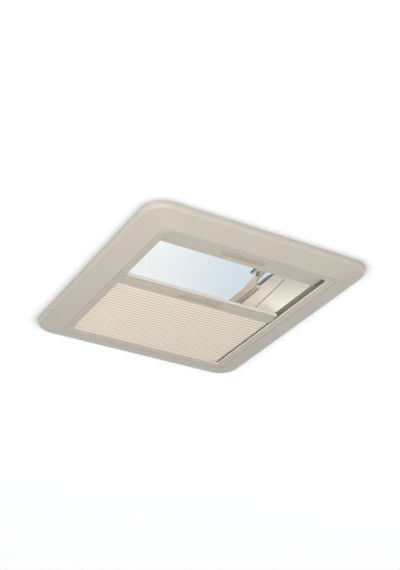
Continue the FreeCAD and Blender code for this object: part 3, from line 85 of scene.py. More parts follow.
# %% Shader helpers
class Wire:
    """One output socket of a node tree."""

    def __init__(self, tree, socket):
        self.tree = tree
        self.socket = socket

    def maths(self, operation, first, second=0.0):
        return self.tree.add("ShaderNodeMath", {"operation": operation}, {0: first, 1: second})

    def __add__(self, other):
        return self.maths("ADD", self, other)

    def __sub__(self, other):
        return self.maths("SUBTRACT", self, other)

    def __rsub__(self, other):
        return self.maths("SUBTRACT", other, self)

    def __mul__(self, other):
        return self.maths("MULTIPLY", self, other)

    def __abs__(self):
        return self.maths("ABSOLUTE", self)

    def at_least(self, other):
        """The larger of this value and another."""
        return self.maths("MAXIMUM", self, other)

    def over(self, level):
        """1 where the value is over a level, and 0 elsewhere."""
        return self.maths("GREATER_THAN", self, level)

    def within(self, low, high):
        """1 where the value is over low but not over high, and 0 elsewhere."""
        return self.over(low) * (1 - self.over(high))

    __radd__ = __add__
    __rmul__ = __mul__


class Tree:
    """A node tree that is filled by short calls."""

    def __init__(self, node_tree):
        self.nodes = node_tree.nodes
        self.links = node_tree.links
        self.nodes.clear()

    def place(self, kind, settings=None, sockets=None):
        node = self.nodes.new(kind)
        for name, value in (settings or {}).items():
            setattr(node, name, value)
        for key, value in (sockets or {}).items():
            if isinstance(value, Wire):
                self.links.new(value.socket, node.inputs[key])
            else:
                node.inputs[key].default_value = value
        return node

    def add(self, kind, settings=None, sockets=None, output=0):
        return Wire(self, self.place(kind, settings, sockets).outputs[output])

    def between(self, factor, first, second):
        """A colour between two colours."""
        return self.add("ShaderNodeMix", {"data_type": "RGBA"}, {"Factor": factor, 6: first, 7: second},
                        output=2)

    def axes(self):
        """The Object coordinates x, y and z of a place on the piece, in metres."""
        place = self.place("ShaderNodeSeparateXYZ", None, {0: self.add("ShaderNodeTexCoord", output=3)})
        return [Wire(self, output) for output in place.outputs]


print("operators on a wire:", ", ".join(name for name in vars(Wire) if name.startswith("__r")))

# %% [markdown]
# Colours are written as they look on the screen, from 0 to 255. Shaders reckon with light, so each
# channel is turned into its linear level first.

# %% Colours
def linear(value):
    """The linear level of one channel of a display colour."""
    share = value / 255
    if share <= 0.04045:
        return share / 12.92
    return ((share + 0.055) / 1.055) ** 2.4


def paint(red, green, blue):
    return (linear(red), linear(green), linear(blue), 1.0)


def scaled(colour, share):
    """A colour that sends back a share of the light that the given one does."""
    return tuple(channel * share for channel in colour[:3]) + (1.0,)


print("sRGB 128 is linear", round(linear(128), 3))

# %% [markdown]
# A finish starts with a Principled shader. Three things vary over a real surface, even a plain one:
# its colour a little, its gloss a little, and its height, which bends the light. The finish class
# takes all three from noise on Object coordinates, which stay put when the mesh is edited.

# %% Finish helper
finishes = {}


class Finish(Tree):
    """A material round one Principled shader. Constants are set on the shader's own sockets."""

    def __init__(self, name, **constants):
        material = bpy.data.materials.new(name)
        material.use_nodes = True
        super().__init__(material.node_tree)
        self.shader = self.place("ShaderNodeBsdfPrincipled")
        output = self.place("ShaderNodeOutputMaterial")
        self.links.new(self.shader.outputs[0], output.inputs[0])
        for key, value in constants.items():
            self.shader.inputs[key.replace("_", " ")].default_value = value
        self.where = self.add("ShaderNodeTexCoord", output=3)
        finishes[name] = material

    def feed(self, socket, wire):
        self.links.new(wire.socket, self.shader.inputs[socket])

    def noise(self, size, detail=2.0, stretch=(1, 1, 1)):
        """Noise whose features are about size metres across, longer along a stretched axis."""
        mapped = self.add("ShaderNodeMapping", {"vector_type": "POINT"},
                          {"Vector": self.where, "Scale": tuple(1 / (size * part) for part in stretch)})
        return self.add("ShaderNodeTexNoise", {"noise_dimensions": "3D"},
                        {"Vector": mapped, "Scale": 1.0, "Detail": detail})

    def relief(self, height, distance, strength):
        self.feed("Normal", self.add("ShaderNodeBump", None,
                                     {"Height": height, "Distance": distance, "Strength": strength}))

    def vary(self, light, dark, rough_low, rough_high, patch=0.05):
        self.feed("Base Color", self.between(self.noise(patch, detail=3.0), dark, light))
        self.feed("Roughness", rough_low + (rough_high - rough_low) * self.noise(patch / 3))

    def tint(self, mask, colour):
        """Lays a colour over the base colour, as far as the mask says."""
        under = Wire(self, self.shader.inputs["Base Color"].links[0].from_socket)
        self.feed("Base Color", self.between(mask, under, colour))


print("a finish can:", ", ".join(name for name in vars(Finish) if not name.startswith("_")))

# %% [markdown]
# The trim and the blind frame are moulded in cream plastic with a fine satin grain. The well is
# the same kind of plastic, lighter and smoother. One function makes such a plastic from its
# colour, its gloss and the size of its grain.

# %% Moulded plastics
def moulded(name, colour, shade=0.96, gloss=(0.38, 0.46), grain=0.0004, depth=0.00002):
    finish = Finish(name, Specular_IOR_Level=0.4)
    finish.vary(colour, scaled(colour, shade), *gloss)
    finish.relief(finish.noise(grain, detail=1.0), depth, 0.5)
    return finish


cream = moulded("cream_plastic", paint(203, 193, 180))
well = moulded("well_plastic", paint(245, 236, 223), gloss=(0.34, 0.42))
moulded("beige_plastic", paint(205, 193, 176), gloss=(0.40, 0.50))
moulded("grey_plastic", paint(122, 114, 105), gloss=(0.42, 0.52))
moulded("black_plastic", paint(34, 34, 35), shade=0.8, gloss=(0.45, 0.60), grain=0.0006, depth=0.00005)
moulded("white_frame", paint(232, 232, 228), gloss=(0.45, 0.55), grain=0.0006, depth=0.00004)
print("plastics:", len(finishes))

# %% [markdown]
# Light and shade are painted into a moulding's colour at its edges and corners, and a mask on Object
# coordinates finds such places. A painted highlight makes the edge of the trim's lip lighter on the
# two sides that face the daylight. The well has painted shade towards its upper near corners and in
# its seams, and it is darker at its foot.

# %% Edges and corners of the mouldings
OPENING_HALF = (174.0, 210.0)
LIP_EDGE = 0.9
LIGHT_WITH_Y, SHADE_WITH_Z = 4.4, 7.0
LIGHT_SPAN = (-0.46, 0.06)
FOOT_EDGE, FOOT_LEVEL = 173.2, -46.0
SEAM_FLOOR = (173.7, 174.7)

x, y, _ = cream.axes()
# painted highlight on the lip's edge, on the two sides that face the daylight
past_opening = (abs(x) - OPENING_HALF[0] * MM).at_least(abs(y) - OPENING_HALF[1] * MM)
far_sides = (x + OPENING_HALF[0] / OPENING_HALF[1] * y).over(0.0)
cream.tint(far_sides * (1 - past_opening.over(LIP_EDGE * MM)), paint(242, 233, 220))

x, y, z = well.axes()
# painted shade: the well darkens towards its upper near corners
lit = well.add("ShaderNodeMapRange", None, {"Value": LIGHT_WITH_Y * y - SHADE_WITH_Z * z,
                                            "From Min": LIGHT_SPAN[0], "From Max": LIGHT_SPAN[1]})
well.tint(1 - lit, paint(188, 179, 168))
well.tint(abs(x).over(FOOT_EDGE * MM) * (1 - z.over(FOOT_LEVEL * MM)), paint(176, 166, 152))
# painted shade in the grooves of the seams
well.tint(abs(x).within(SEAM_FLOOR[0] * MM, SEAM_FLOOR[1] * MM), paint(126, 116, 104))
print("nodes in the well's plastic:", len(well.nodes))

# %% [markdown]
# Powder coat on the blinds' aluminium bars is smooth from afar and slightly dimpled close by,
# like the skin of an orange. A coarser, softer noise than the plastic's grain gives that skin.
# The finger recesses are shaded, most along their near edges. The blackout bar's edge towards the
# window catches the daylight, and the tracks beside the bars lie in the trim's shade.

# %% Powder coats
def powder_coat(name, colour, gloss):
    finish = Finish(name, Specular_IOR_Level=0.45)
    finish.vary(colour, scaled(colour, 0.97), *gloss)
    finish.relief(finish.noise(0.0012), 0.00003, 0.6)
    return finish


GRIP_HALF, GRIP_WIDTH, GRIP_DEPTH = 46.0, 14.0, 4.1
# each finger recess: its middle on Y and the level of the underside that it opens in
GRIPS = {"blackout": (-15.4, -63.4), "screen": (-187.6, -55.8)}
GRIP_SHADED = (0.4, GRIP_DEPTH + 0.3)
LEAST_SHADE = 0.3
BAR_EDGE = (-38.0, -36.4)
TRACK_INNER = 173.6


def in_grip(x, y, z, middle, underside):
    """1 at the near edge of a finger recess, less towards its far edge and 0 outside it."""
    near = y - (middle - GRIP_WIDTH / 2) * MM
    inside = near.within(0.0, GRIP_WIDTH * MM) * (1 - abs(x).over(GRIP_HALF * MM))
    deep = z.within((underside + GRIP_SHADED[0]) * MM, (underside + GRIP_SHADED[1]) * MM)
    fall = 1 - 2 / (GRIP_WIDTH * MM) * near
    return inside * deep * fall.at_least(LEAST_SHADE)


coat = powder_coat("cream_profile", paint(199, 189, 173), (0.36, 0.44))
x, y, z = coat.axes()
# painted shade in the finger recesses, darkest along their near edges
coat.tint(in_grip(x, y, z, *GRIPS["blackout"]) + in_grip(x, y, z, *GRIPS["screen"]), paint(168, 157, 142))
# painted highlight on the blackout bar's edge towards the window
coat.tint(y.within(BAR_EDGE[0] * MM, BAR_EDGE[1] * MM), paint(250, 241, 228))
# painted shade on the tracks beside the bars, where the trim shades them
coat.tint(abs(x).over(TRACK_INNER * MM), paint(166, 155, 141))
powder_coat("grey_metal", paint(140, 140, 138), (0.42, 0.52))
print("nodes in the bars' coat:", len(coat.nodes))

# %% [markdown]
# Rolled steel is brushed along the rail. Noise that is stretched thirty times along Y makes fine
# parallel lines in both the gloss and the relief. Zinc plating has short, cloudy crystals instead.

# %% Steels
def brushed(name, colour, gloss, stretch, line, metallic):
    finish = Finish(name, Metallic=metallic)
    streak = finish.noise(line, detail=3.0, stretch=stretch)
    finish.feed("Base Color", finish.between(streak, scaled(colour, 0.82), colour))
    finish.feed("Roughness", gloss[0] + (gloss[1] - gloss[0]) * streak)
    finish.relief(streak, 0.00003, 0.5)


brushed("bright_steel", paint(228, 230, 232), (0.24, 0.40), (1, 30, 1), 0.0006, 0.5)
brushed("zinc_steel", paint(186, 189, 190), (0.28, 0.46), (1, 1, 1), 0.0025, 1.0)
print("with the steels:", len(finishes))

# %% [markdown]
# Rubber is dark and dull, and it picks up a little dust. The seal under the flange is closed-cell
# foam, whose skin has small round cells: a Voronoi texture gives each cell its own dimple.

# %% Rubber and foam
def elastic(name, colour, cell, depth):
    finish = Finish(name, Specular_IOR_Level=0.3)
    finish.vary(scaled(colour, 1.6), colour, 0.62, 0.80, patch=0.03)
    cells = finish.add("ShaderNodeTexVoronoi", {"feature": "SMOOTH_F1"},
                       {"Vector": finish.where, "Scale": 1 / cell})
    finish.relief(cells, depth, 0.6)


elastic("rubber", paint(48, 47, 46), 0.0008, 0.00004)
elastic("foam_seal", paint(62, 62, 62), 0.0016, 0.00015)
print("with the seals:", len(finishes))

# %% [markdown]
# Clear acrylic is made as a thin, glossy skin that lets most light pass. Alpha does that in the
# render. The skin is a little less clear where it is dusty.

# %% Clear acrylic
CLEAN_ALPHA, DUSTY_ALPHA = 0.025, 0.05

acrylic = Finish("clear_acrylic", Base_Color=paint(222, 236, 245), Specular_IOR_Level=0.5)
haze = acrylic.noise(0.09, detail=4.0)
acrylic.feed("Alpha", CLEAN_ALPHA + (DUSTY_ALPHA - CLEAN_ALPHA) * haze)
acrylic.feed("Roughness", 0.03 + 0.05 * haze)
print("with the acrylic:", len(finishes))

# %% [markdown]
# The blackout cloth is a fine woven polyester. Two wave textures at right angles, one for the warp
# and one for the weft, are multiplied into a weave that is half a millimetre wide. Its folds are
# darker in their valleys, where less light gets in.

# %% Pleated cloth
def threads(finish, direction, pitch):
    """0 in a gap and 1 on a thread, for threads that repeat along one axis."""
    return finish.add("ShaderNodeTexWave", {"wave_type": "BANDS", "bands_direction": direction},
                      {"Vector": finish.where, "Scale": math.tau / 20 / pitch, "Distortion": 0.0}, output=1)


WEAVE_PITCH = 0.5 * MM
CREST_LEVEL, VALLEY_DEPTH = -63.2 * MM, 4.4 * MM
CREST_COLOUR, VALLEY_SHADE = paint(250, 240, 226), paint(206, 191, 173)

cloth = Finish("pleated_cloth", Specular_IOR_Level=0.15, Sheen_Weight=0.25, Sheen_Roughness=0.5)
weave = threads(cloth, "X", WEAVE_PITCH) * threads(cloth, "Y", WEAVE_PITCH)
_, _, z = cloth.axes()
depth = cloth.add("ShaderNodeMapRange", {"interpolation_type": "SMOOTHSTEP"},
                  {"Value": z + 0.4 * MM * cloth.noise(0.02, detail=3.0), "From Min": CREST_LEVEL,
                   "From Max": CREST_LEVEL + VALLEY_DEPTH})
# painted shade: the folds' valleys are darker than their crests
fold_shade = cloth.between(depth, CREST_COLOUR, VALLEY_SHADE)
thread_shade = cloth.between(weave, scaled(CREST_COLOUR, 0.93), CREST_COLOUR)
cloth.feed("Base Color", cloth.between(0.75 + 0.2 * depth, thread_shade, fold_shade))
cloth.feed("Roughness", 0.78 + 0.12 * weave)
cloth.relief(weave, 0.00005, 0.5)
print("weave:", WEAVE_PITCH / MM, "mm")

# %% [markdown]
# The insect screen is a mesh of dark threads: the same two waves again, but a gap between threads
# is a hole. So they feed the alpha, and a place is solid where either thread passes.

# %% Insect screen cloth
MESH_PITCH, THREAD_SHARE = 1.3 * MM, 0.45

mesh_cloth = Finish("screen_cloth", Base_Color=paint(70, 71, 72), Specular_IOR_Level=0.3)
across, along = (threads(mesh_cloth, way, MESH_PITCH).over(1 - THREAD_SHARE) for way in ("X", "Y"))
mesh_cloth.feed("Alpha", across.at_least(along))
mesh_cloth.feed("Roughness", 0.5 + 0.2 * mesh_cloth.noise(0.004))
print("finishes:", ", ".join(sorted(finishes)))

# %% [markdown]
# The skylight hangs in a ceiling. A white sheet with the cut-out stands for it, over a pale floor.
# Each is one flat mesh, made of a square or of the band between two squares.

# %% Ceiling and floor sheets
CEILING_LEVEL, FLOOR_LEVEL = -45.0, -2400.0
CUTOUT_HALF, SHEET_HALF = 200.0, 5000.0


def object_from(name, mesh):
    data = bpy.data.meshes.new(name)
    mesh.to_mesh(data)
    mesh.free()
    item = bpy.data.objects.new(name, data)
    bpy.context.scene.collection.objects.link(item)
    return item


def corners_of(mesh, half, level):
    places = ((-half, -half), (half, -half), (half, half), (-half, half))
    return [mesh.verts.new(Vector((x, y, level)) * MM) for x, y in places]


ceiling_mesh = bmesh.new()
outer, inner = (corners_of(ceiling_mesh, half, CEILING_LEVEL) for half in (SHEET_HALF, CUTOUT_HALF))
for side in range(4):
    after = (side + 1) % 4
    ceiling_mesh.faces.new((outer[side], inner[side], inner[after], outer[after]))
floor_mesh = bmesh.new()
floor_mesh.faces.new(corners_of(floor_mesh, SHEET_HALF, FLOOR_LEVEL))
ceiling = object_from("ceiling_sheet", ceiling_mesh)
floor = object_from("studio_floor", floor_mesh)
print("ceiling faces:", len(ceiling.data.polygons))

# %% [markdown]
# The camera sees the ceiling as white, with a painted shadow round the trim: its colour and glow are
# darkened less and less with the distance from the trim's outline. The sheets glow only for the camera
# and for what mirrors them, so they don't wash out the part. From above the ceiling isn't shown.

# %% Ceiling and floor paint
TRIM_HALF = (240.0, 276.0)
RIM_CORNER = 44.0
CEILING_SHOWN = paint(140, 140, 140)
SHADE_DEPTH, SHADE_REACH = 0.48, 11 * MM


def distance_from_trim(tree):
    """How far a place on the ceiling is from the trim's round-cornered outline, in metres."""
    reach = [(abs(axis) - (half - RIM_CORNER) * MM).at_least(0.0)
             for axis, half in zip(tree.axes(), TRIM_HALF)]
    squares = reach[0] * reach[0] + reach[1] * reach[1]
    return squares.maths("SQRT", squares) - RIM_CORNER * MM


def watching(tree):
    """1 for rays from the camera and for those that glossy and clear surfaces send on."""
    rays = tree.place("ShaderNodeLightPath")
    camera_ray, glossy_ray, clear_ray = (
        Wire(tree, rays.outputs[f"Is {kind} Ray"]) for kind in ("Camera", "Glossy", "Transmission"))
    return camera_ray.at_least(glossy_ray).at_least(clear_ray)


def backdrop(name, colour, glow, hidden_from_above):
    material = bpy.data.materials.new(name)
    material.use_nodes = True
    tree = Tree(material.node_tree)
    seen = watching(tree)
    if hidden_from_above:
        # painted shadow: the ceiling's colour and glow darken towards the trim's outline
        away = distance_from_trim(tree)
        shade = 1 - SHADE_DEPTH * away.maths("POWER", math.e, -1 / SHADE_REACH * away)
        colour = tree.between(shade, scaled(colour, 0.0), tree.between(seen, colour, CEILING_SHOWN))
        glow = glow * shade
    diffuse = tree.add("ShaderNodeBsdfDiffuse", None, {"Color": colour})
    light = tree.add("ShaderNodeEmission", None, {"Color": paint(255, 255, 255), "Strength": glow * seen})
    both = tree.add("ShaderNodeAddShader", None, {0: diffuse, 1: light})
    if hidden_from_above:
        above = Wire(tree, tree.place("ShaderNodeNewGeometry").outputs["Backfacing"])
        clear = tree.add("ShaderNodeBsdfTransparent")
        both = tree.add("ShaderNodeMixShader", None, {0: above * seen, 1: both, 2: clear})
    tree.place("ShaderNodeOutputMaterial", None, {0: both})
    return material


ceiling.data.materials.append(backdrop("ceiling_paint", paint(250, 250, 250), 0.86, True))
floor.data.materials.append(backdrop("floor_paint", paint(235, 235, 235), 0.55, False))
print("shade at the trim:", SHADE_DEPTH)

# %% [markdown]
# Outside there is a pale, hazy sky. It lights the well from above and it is what the camera sees
# through the pane: nearly white on the left and a soft blue towards the right.

# %% Sky
SKY_WHITE, SKY_BLUE = paint(252, 254, 255), paint(218, 231, 239)
SKY_TURN = Vector((0.8695, -0.4939, 0.0))
SKY_START, SKY_WIDTH = -0.055, 0.10
SKY_LIGHT = 0.50

world = bpy.data.worlds.new("hazy_sky")
bpy.context.scene.world = world
world.use_nodes = True
sky = Tree(world.node_tree)
turn = sky.add("ShaderNodeVectorMath", {"operation": "DOT_PRODUCT"},
               {0: sky.add("ShaderNodeTexCoord"), 1: tuple(SKY_TURN.normalized())}, output=1)
blueness = sky.add("ShaderNodeMapRange", {"interpolation_type": "SMOOTHSTEP"},
                   {"Value": turn, "From Min": SKY_START, "From Max": SKY_START + SKY_WIDTH})
sky_colour = sky.between(blueness, SKY_WHITE, SKY_BLUE)
seen_sky = sky.add("ShaderNodeBackground", None, {"Color": sky_colour, "Strength": 1.0})
lit_sky = sky.add("ShaderNodeBackground", None, {"Color": paint(238, 244, 250), "Strength": SKY_LIGHT})
sky.place("ShaderNodeOutputWorld", None,
          {0: sky.add("ShaderNodeMixShader", None, {0: watching(sky), 1: lit_sky, 2: seen_sky})})
print("sky nodes:", len(sky.nodes))

# %% [markdown]
# The room light is soft and comes mostly from the camera's side, a little more from its left.
# Large area lamps give it. Each is placed by the direction that it lights from.

# %% Lamps
LAMP_DISTANCE = 2.0
LAMPS = {
    # name: (azimuth, elevation, size, strength as the light level on a surface that faces it)
    "room_window": (238, -40, 0.9, 0.575),
    "room_left": (180, -15, 1.2, 0.12),
    "room_right": (0, -12, 1.2, 0.15),
    "sun_haze": (160, 30, 0.5, 0.54),
}


def add_lamp(name, azimuth, elevation, width, level):
    turned, raised = math.radians(azimuth), math.radians(elevation)
    towards = Vector((math.cos(raised) * math.cos(turned), math.cos(raised) * math.sin(turned),
                      math.sin(raised)))
    data = bpy.data.lights.new(name, "AREA")
    data.shape = "DISK"
    data.size = width
    data.energy = level * math.pi * math.pi * LAMP_DISTANCE ** 2
    lamp = bpy.data.objects.new(name, data)
    lamp.location = towards * LAMP_DISTANCE
    lamp.rotation_euler = towards.to_track_quat("Z", "Y").to_euler()
    bpy.context.scene.collection.objects.link(lamp)


for lamp_name, settings in LAMPS.items():
    add_lamp(lamp_name, *settings)
bpy.context.scene.view_settings.view_transform = "Standard"
print("lamps:", len(LAMPS))

# %% [markdown]
# A visible piece takes its finish and the body that it moves with from the CAD node that it stands
# for. The frame's record names both. So dressing a piece is one short call.

# %% Dressing a piece
def slot_of(node):
    return next(part["material_slot"] for part in frame["record"]["subparts"] if part["node"] == node)


def body_of(node):
    bodies = frame["record"]["behaviour"]["bodies"]
    return next(body for body, members in bodies.items() if node in members)


def dress(item, node, stands_for_it=True):
    """Gives a piece a CAD node's finish and body. It stands for that node, or only adds to it."""
    slot = slot_of(node)
    item.data.materials.clear()
    item.data.materials.append(finishes[slot])
    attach(item, body_of(node))
    if stands_for_it:
        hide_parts(node)


print("the pane is", slot_of("dome_inner_skin"), "on", body_of("dome_inner_skin"))

# %% [markdown]
# A frame or a dome's skin is a stack of loops: the same round-cornered rectangle again and again,
# at the insets and levels of its cross-section. In a frame the last loop joins the first one. A
# skin or a finger pull has its two end loops filled.

# %% Loop helpers
def smooth(mesh_data, angle=40):
    mesh_data.shade_smooth()
    mesh_data.set_sharp_from_angle(angle=math.radians(angle))


def closed(mesh):
    """Merges doubles and turns every face outwards."""
    bmesh.ops.remove_doubles(mesh, verts=mesh.verts, dist=1e-6)
    bmesh.ops.recalc_face_normals(mesh, faces=mesh.faces)
    return mesh


def join_loops(mesh, loops):
    """Makes a band of faces between each loop of vertices and the next."""
    for loop, following in zip(loops, loops[1:]):
        for corner in range(len(loop)):
            after = (corner + 1) % len(loop)
            mesh.faces.new((loop[corner], loop[after], following[after], following[corner]))


def loop_points(half_x, half_y, radius, level, middle_y=0.0, steps=12):
    """A round-cornered rectangle, anticlockwise from above, in metres."""
    points = []
    for quarter, (side_x, side_y) in enumerate(((1, 1), (-1, 1), (-1, -1), (1, -1))):
        for step in range(steps + 1):
            angle = math.radians(90 * (quarter + step / steps))
            points.append(Vector((side_x * (half_x - radius) + radius * math.cos(angle),
                                  middle_y + side_y * (half_y - radius) + radius * math.sin(angle),
                                  level)) * MM)
    return points


def looped(name, stations, steps, filled):
    """A piece through loops, each given as (half_x, half_y, radius, level) and maybe its middle_y."""
    mesh = bmesh.new()
    loops = [[mesh.verts.new(point) for point in loop_points(*station, steps=steps)] for station in stations]
    join_loops(mesh, loops if filled else loops + loops[:1])
    for end in (loops[0], loops[-1]) if filled else ():
        centre = mesh.verts.new(sum((vert.co for vert in end), Vector()) / len(end))
        for corner, vert in enumerate(end):
            mesh.faces.new((vert, end[(corner + 1) % len(end)], centre))
    item = object_from(name, closed(mesh))
    smooth(item.data)
    return item


print("points in a loop:", len(loop_points(10, 10, 2, 0)))

# %% [markdown]
# The inner trim is what the photograph shows most of. Its rim rises from the ceiling in a quarter
# ellipse, the broad face slopes down to a fine groove, and a thin lip slopes back up to the
# opening. The corners tighten from 44 mm at the rim to 9 mm at the opening.

# %% Inner trim
RIM_INSET, FACE_INSET, LIP_INSET = 7.5, 49.0, 66.0
RIM_HEIGHT, RIM_STEPS = 12.0, 10
FACE_DROP, LIP_DROP, LIP_TOP = 22.5, 20.4, 18.6
GROOVE_WIDTH, GROOVE_DEPTH = 1.5, 1.3
TRIM_CORNERS = ((0.0, RIM_CORNER), (RIM_INSET, 36.5), (FACE_INSET, 15.0), (LIP_INSET, 9.0))


def trim_radius(inset):
    """The corner radius of the trim at an inset from its outer edge."""
    for (start, first), (end, last) in zip(TRIM_CORNERS, TRIM_CORNERS[1:]):
        if inset <= end:
            return first + (last - first) * (inset - start) / (end - start)


section = []
for step in range(RIM_STEPS + 1):
    part_turn = math.radians(90 * step / RIM_STEPS)
    section.append((RIM_INSET * (1 - math.cos(part_turn)), RIM_HEIGHT * math.sin(part_turn)))
groove_end = FACE_INSET + GROOVE_WIDTH
section += [
    # the broad face and its soft edge
    (8.6, 12.3), (48.3, 22.3), (48.7, 22.45), (FACE_INSET, FACE_DROP - 0.15),
    # the groove
    (FACE_INSET + 0.15, FACE_DROP - GROOVE_DEPTH), (groove_end - 0.15, FACE_DROP - GROOVE_DEPTH),
    (groove_end, FACE_DROP - 0.35), (groove_end + 0.3, FACE_DROP - 0.15),
    # the lip, its soft edge and its wall
    (LIP_INSET - 0.6, LIP_DROP + 0.05), (LIP_INSET - 0.2, LIP_DROP - 0.15), (LIP_INSET, LIP_DROP - 0.6),
    (LIP_INSET, LIP_TOP + 0.3), (LIP_INSET - 0.3, LIP_TOP)]
stations = [(TRIM_HALF[0] - inset, TRIM_HALF[1] - inset, trim_radius(inset), CEILING_LEVEL - drop)
            for inset, drop in section]
# the hollow back, from the lip out to the rim
stations += [(193.5, 232.4, 11, CEILING_LEVEL - LIP_TOP), (230, 266, 34, CEILING_LEVEL - 9.5),
             (237.5, 273.5, 41.5, CEILING_LEVEL)]
trim = looped("trim_frame", stations, 20, filled=False)
dress(trim, "inner_trim")
print("trim:", len(trim.data.polygons), "faces")

# %% [markdown]
# A piece that the CAD already shapes well only lacks soft edges, and it is the edge that catches
# the light. Such a piece is a merged copy of its CAD node with its edges bevelled. The CAD's own
# mesh is never touched. Modifiers are turned into a plain mesh at once.

# %% Rounded copies
ROUNDED_FROM = math.radians(35)
FLAT_WITHIN = math.radians(0.4)


def applied(item):
    """The object with its modifiers turned into a plain mesh."""
    bpy.context.view_layer.update()
    graph = bpy.context.evaluated_depsgraph_get()
    data = bpy.data.meshes.new_from_object(item.evaluated_get(graph), preserve_all_data_layers=True,
                                           depsgraph=graph)
    item.modifiers.clear()
    item.data = data
    data.name = item.name
    return item


def rounded_copy(node, width, segments=2):
    """A merged copy of a CAD node with its edges rounded by width millimetres."""
    mesh = bmesh.new()
    mesh.from_mesh(frame["nodes"][node].data)
    bmesh.ops.remove_doubles(mesh, verts=mesh.verts, dist=1e-6)
    bmesh.ops.dissolve_limit(mesh, angle_limit=FLAT_WITHIN, verts=mesh.verts, edges=mesh.edges)
    item = object_from(f"{node}_rounded", mesh)
    bevel = item.modifiers.new("round_edges", "BEVEL")
    bevel.width = width * MM
    bevel.segments = segments
    bevel.limit_method = "ANGLE"
    bevel.angle_limit = ROUNDED_FROM
    smooth(item.data, 180)
    weight = item.modifiers.new("flat_faces", "WEIGHTED_NORMAL")
    weight.keep_sharp = True
    return applied(item)


print("rounded from:", round(math.degrees(ROUNDED_FROM)), "degrees")

# %% [markdown]
# A powder-coated aluminium bar draws each blind, and a rounded copy is enough for it. The finger
# pull that is clipped into it is moulded, and its recess has soft walls. Its loops start on top,
# go down its outside, round the recess's mouth and along the walls to the recess's end.

# %% Blind bars and finger pulls
PULL_HALF, PULL_WIDTH, PULL_EDGE = 49.0, 19.8, 0.7
GRIP_MOUTH, GRIP_CORNER, GRIP_SOFT, GRIP_TIGHTEST = 0.45, 2.6, 0.9, 0.4
PULLS = {"blackout": (-13.9, -56.2), "screen": (-189.1, -50.6)}


def finger_pull(blind):
    """The pull's outside sits at one middle on Y, and its recess at another."""
    middle, top_level = PULLS[blind]
    grip_middle, underside = GRIPS[blind]

    def outside(inset, radius, level):
        return (PULL_HALF - inset, PULL_WIDTH / 2 - inset, radius, level, middle)

    def recess(inset, radius, level):
        return (GRIP_HALF - inset, GRIP_WIDTH / 2 - inset, radius, level, grip_middle)

    loops = [outside(PULL_EDGE, 0.3, top_level), outside(0.0, 0.9, top_level - PULL_EDGE),
             outside(0.0, 0.9, underside + 0.4), outside(0.1, 0.8, underside + 0.1),
             outside(0.4, 0.6, underside)]
    for share in (0, 0.25, 0.5, 0.75, 1):
        turn_in = math.radians(90 * share)
        inset = GRIP_MOUTH * (math.sin(turn_in) - 1)
        loops.append(recess(inset, GRIP_CORNER - inset, underside + GRIP_MOUTH * (1 - math.cos(turn_in))))
    for share in (0, 0.33, 0.67, 1):
        turn_in = math.radians(90 * share)
        inset = 0.5 + GRIP_SOFT * (1 - math.cos(turn_in))
        loops.append(recess(inset, GRIP_CORNER - inset,
                            underside + GRIP_DEPTH - GRIP_SOFT * (1 - math.sin(turn_in))))
    loops.append(recess(inset + 0.4, GRIP_TIGHTEST, underside + GRIP_DEPTH))
    return looped(f"{blind}_finger_pull", loops, 6, filled=True)


for blind in PULLS:
    dress(finger_pull(blind), f"{blind}_pull")
    dress(rounded_copy(f"{blind}_bar", 0.35), f"{blind}_bar")
print("bars and pulls:", len(PULLS))

# %% [markdown]
# Screws, ribs and folds repeat, so geometry nodes make them. One small class builds such a
# tree: it names its inputs, copies a template to points and ends by turning the copies into one real
# mesh with its finish. A second function grows the pattern on a mesh of points.

# %% Pattern helper
class Pattern(Tree):
    """A geometry node tree with named inputs."""

    def __init__(self, name, **inputs):
        self.group = bpy.data.node_groups.new(name, "GeometryNodeTree")
        super().__init__(self.group)
        sockets = self.group.interface
        for way in ("INPUT", "OUTPUT"):
            sockets.new_socket("Geometry", in_out=way, socket_type="NodeSocketGeometry")
        self.identifiers = {}
        for label, kind in inputs.items():
            socket = sockets.new_socket(label, in_out="INPUT", socket_type=f"NodeSocket{kind}")
            self.identifiers[label] = socket.identifier
        entry = self.place("NodeGroupInput")
        self.points = Wire(self, entry.outputs["Geometry"])
        self.given = {label: Wire(self, entry.outputs[label]) for label in inputs}

    def template(self):
        return self.add("GeometryNodeObjectInfo", {"transform_space": "ORIGINAL"},
                        {"Object": self.given["template"]}, output=4)

    def end(self, geometry):
        real = self.add("GeometryNodeRealizeInstances", None, {0: geometry})
        coated = self.add("GeometryNodeSetMaterial", None,
                          {"Geometry": real, "Material": self.given["finish"]})
        self.place("NodeGroupOutput", None, {0: coated})


def grown(name, pattern, points, **values):
    """The plain mesh that a pattern makes from points, each of them (place in mm, turn)."""
    mesh = bmesh.new()
    turns = mesh.verts.layers.float_vector.new("turn")
    for place, turn in points:
        vert = mesh.verts.new(Vector(place) * MM)
        vert[turns] = Vector(turn)
    item = object_from(name, mesh)
    modifier = item.modifiers.new("pattern", "NODES")
    modifier.node_group = pattern.group
    for label, value in values.items():
        modifier[pattern.identifiers[label]] = value
    return applied(item)


copies = Pattern("copies_on_points", template="Object", size="Float", finish="Material")
turn_of = copies.add("GeometryNodeInputNamedAttribute", {"data_type": "FLOAT_VECTOR"}, {"Name": "turn"})
copies.end(copies.add("GeometryNodeInstanceOnPoints", None,
                      {"Points": copies.points, "Instance": copies.template(),
                       "Rotation": copies.add("FunctionNodeEulerToRotation", None, {0: turn_of}),
                       "Scale": copies.given["size"]}))
print("inputs:", ", ".join(copies.identifiers))

# %% [markdown]
# A screw has a low domed head with a cross recess, and a thread. The template is modelled once,
# pointing up. It is one outline, spun about its axis, and a cross is pressed into its head.

# %% Screw template
SCREW_SIDES = 24
CROSS_LENGTH, CROSS_WIDTH = 1.05, 0.24


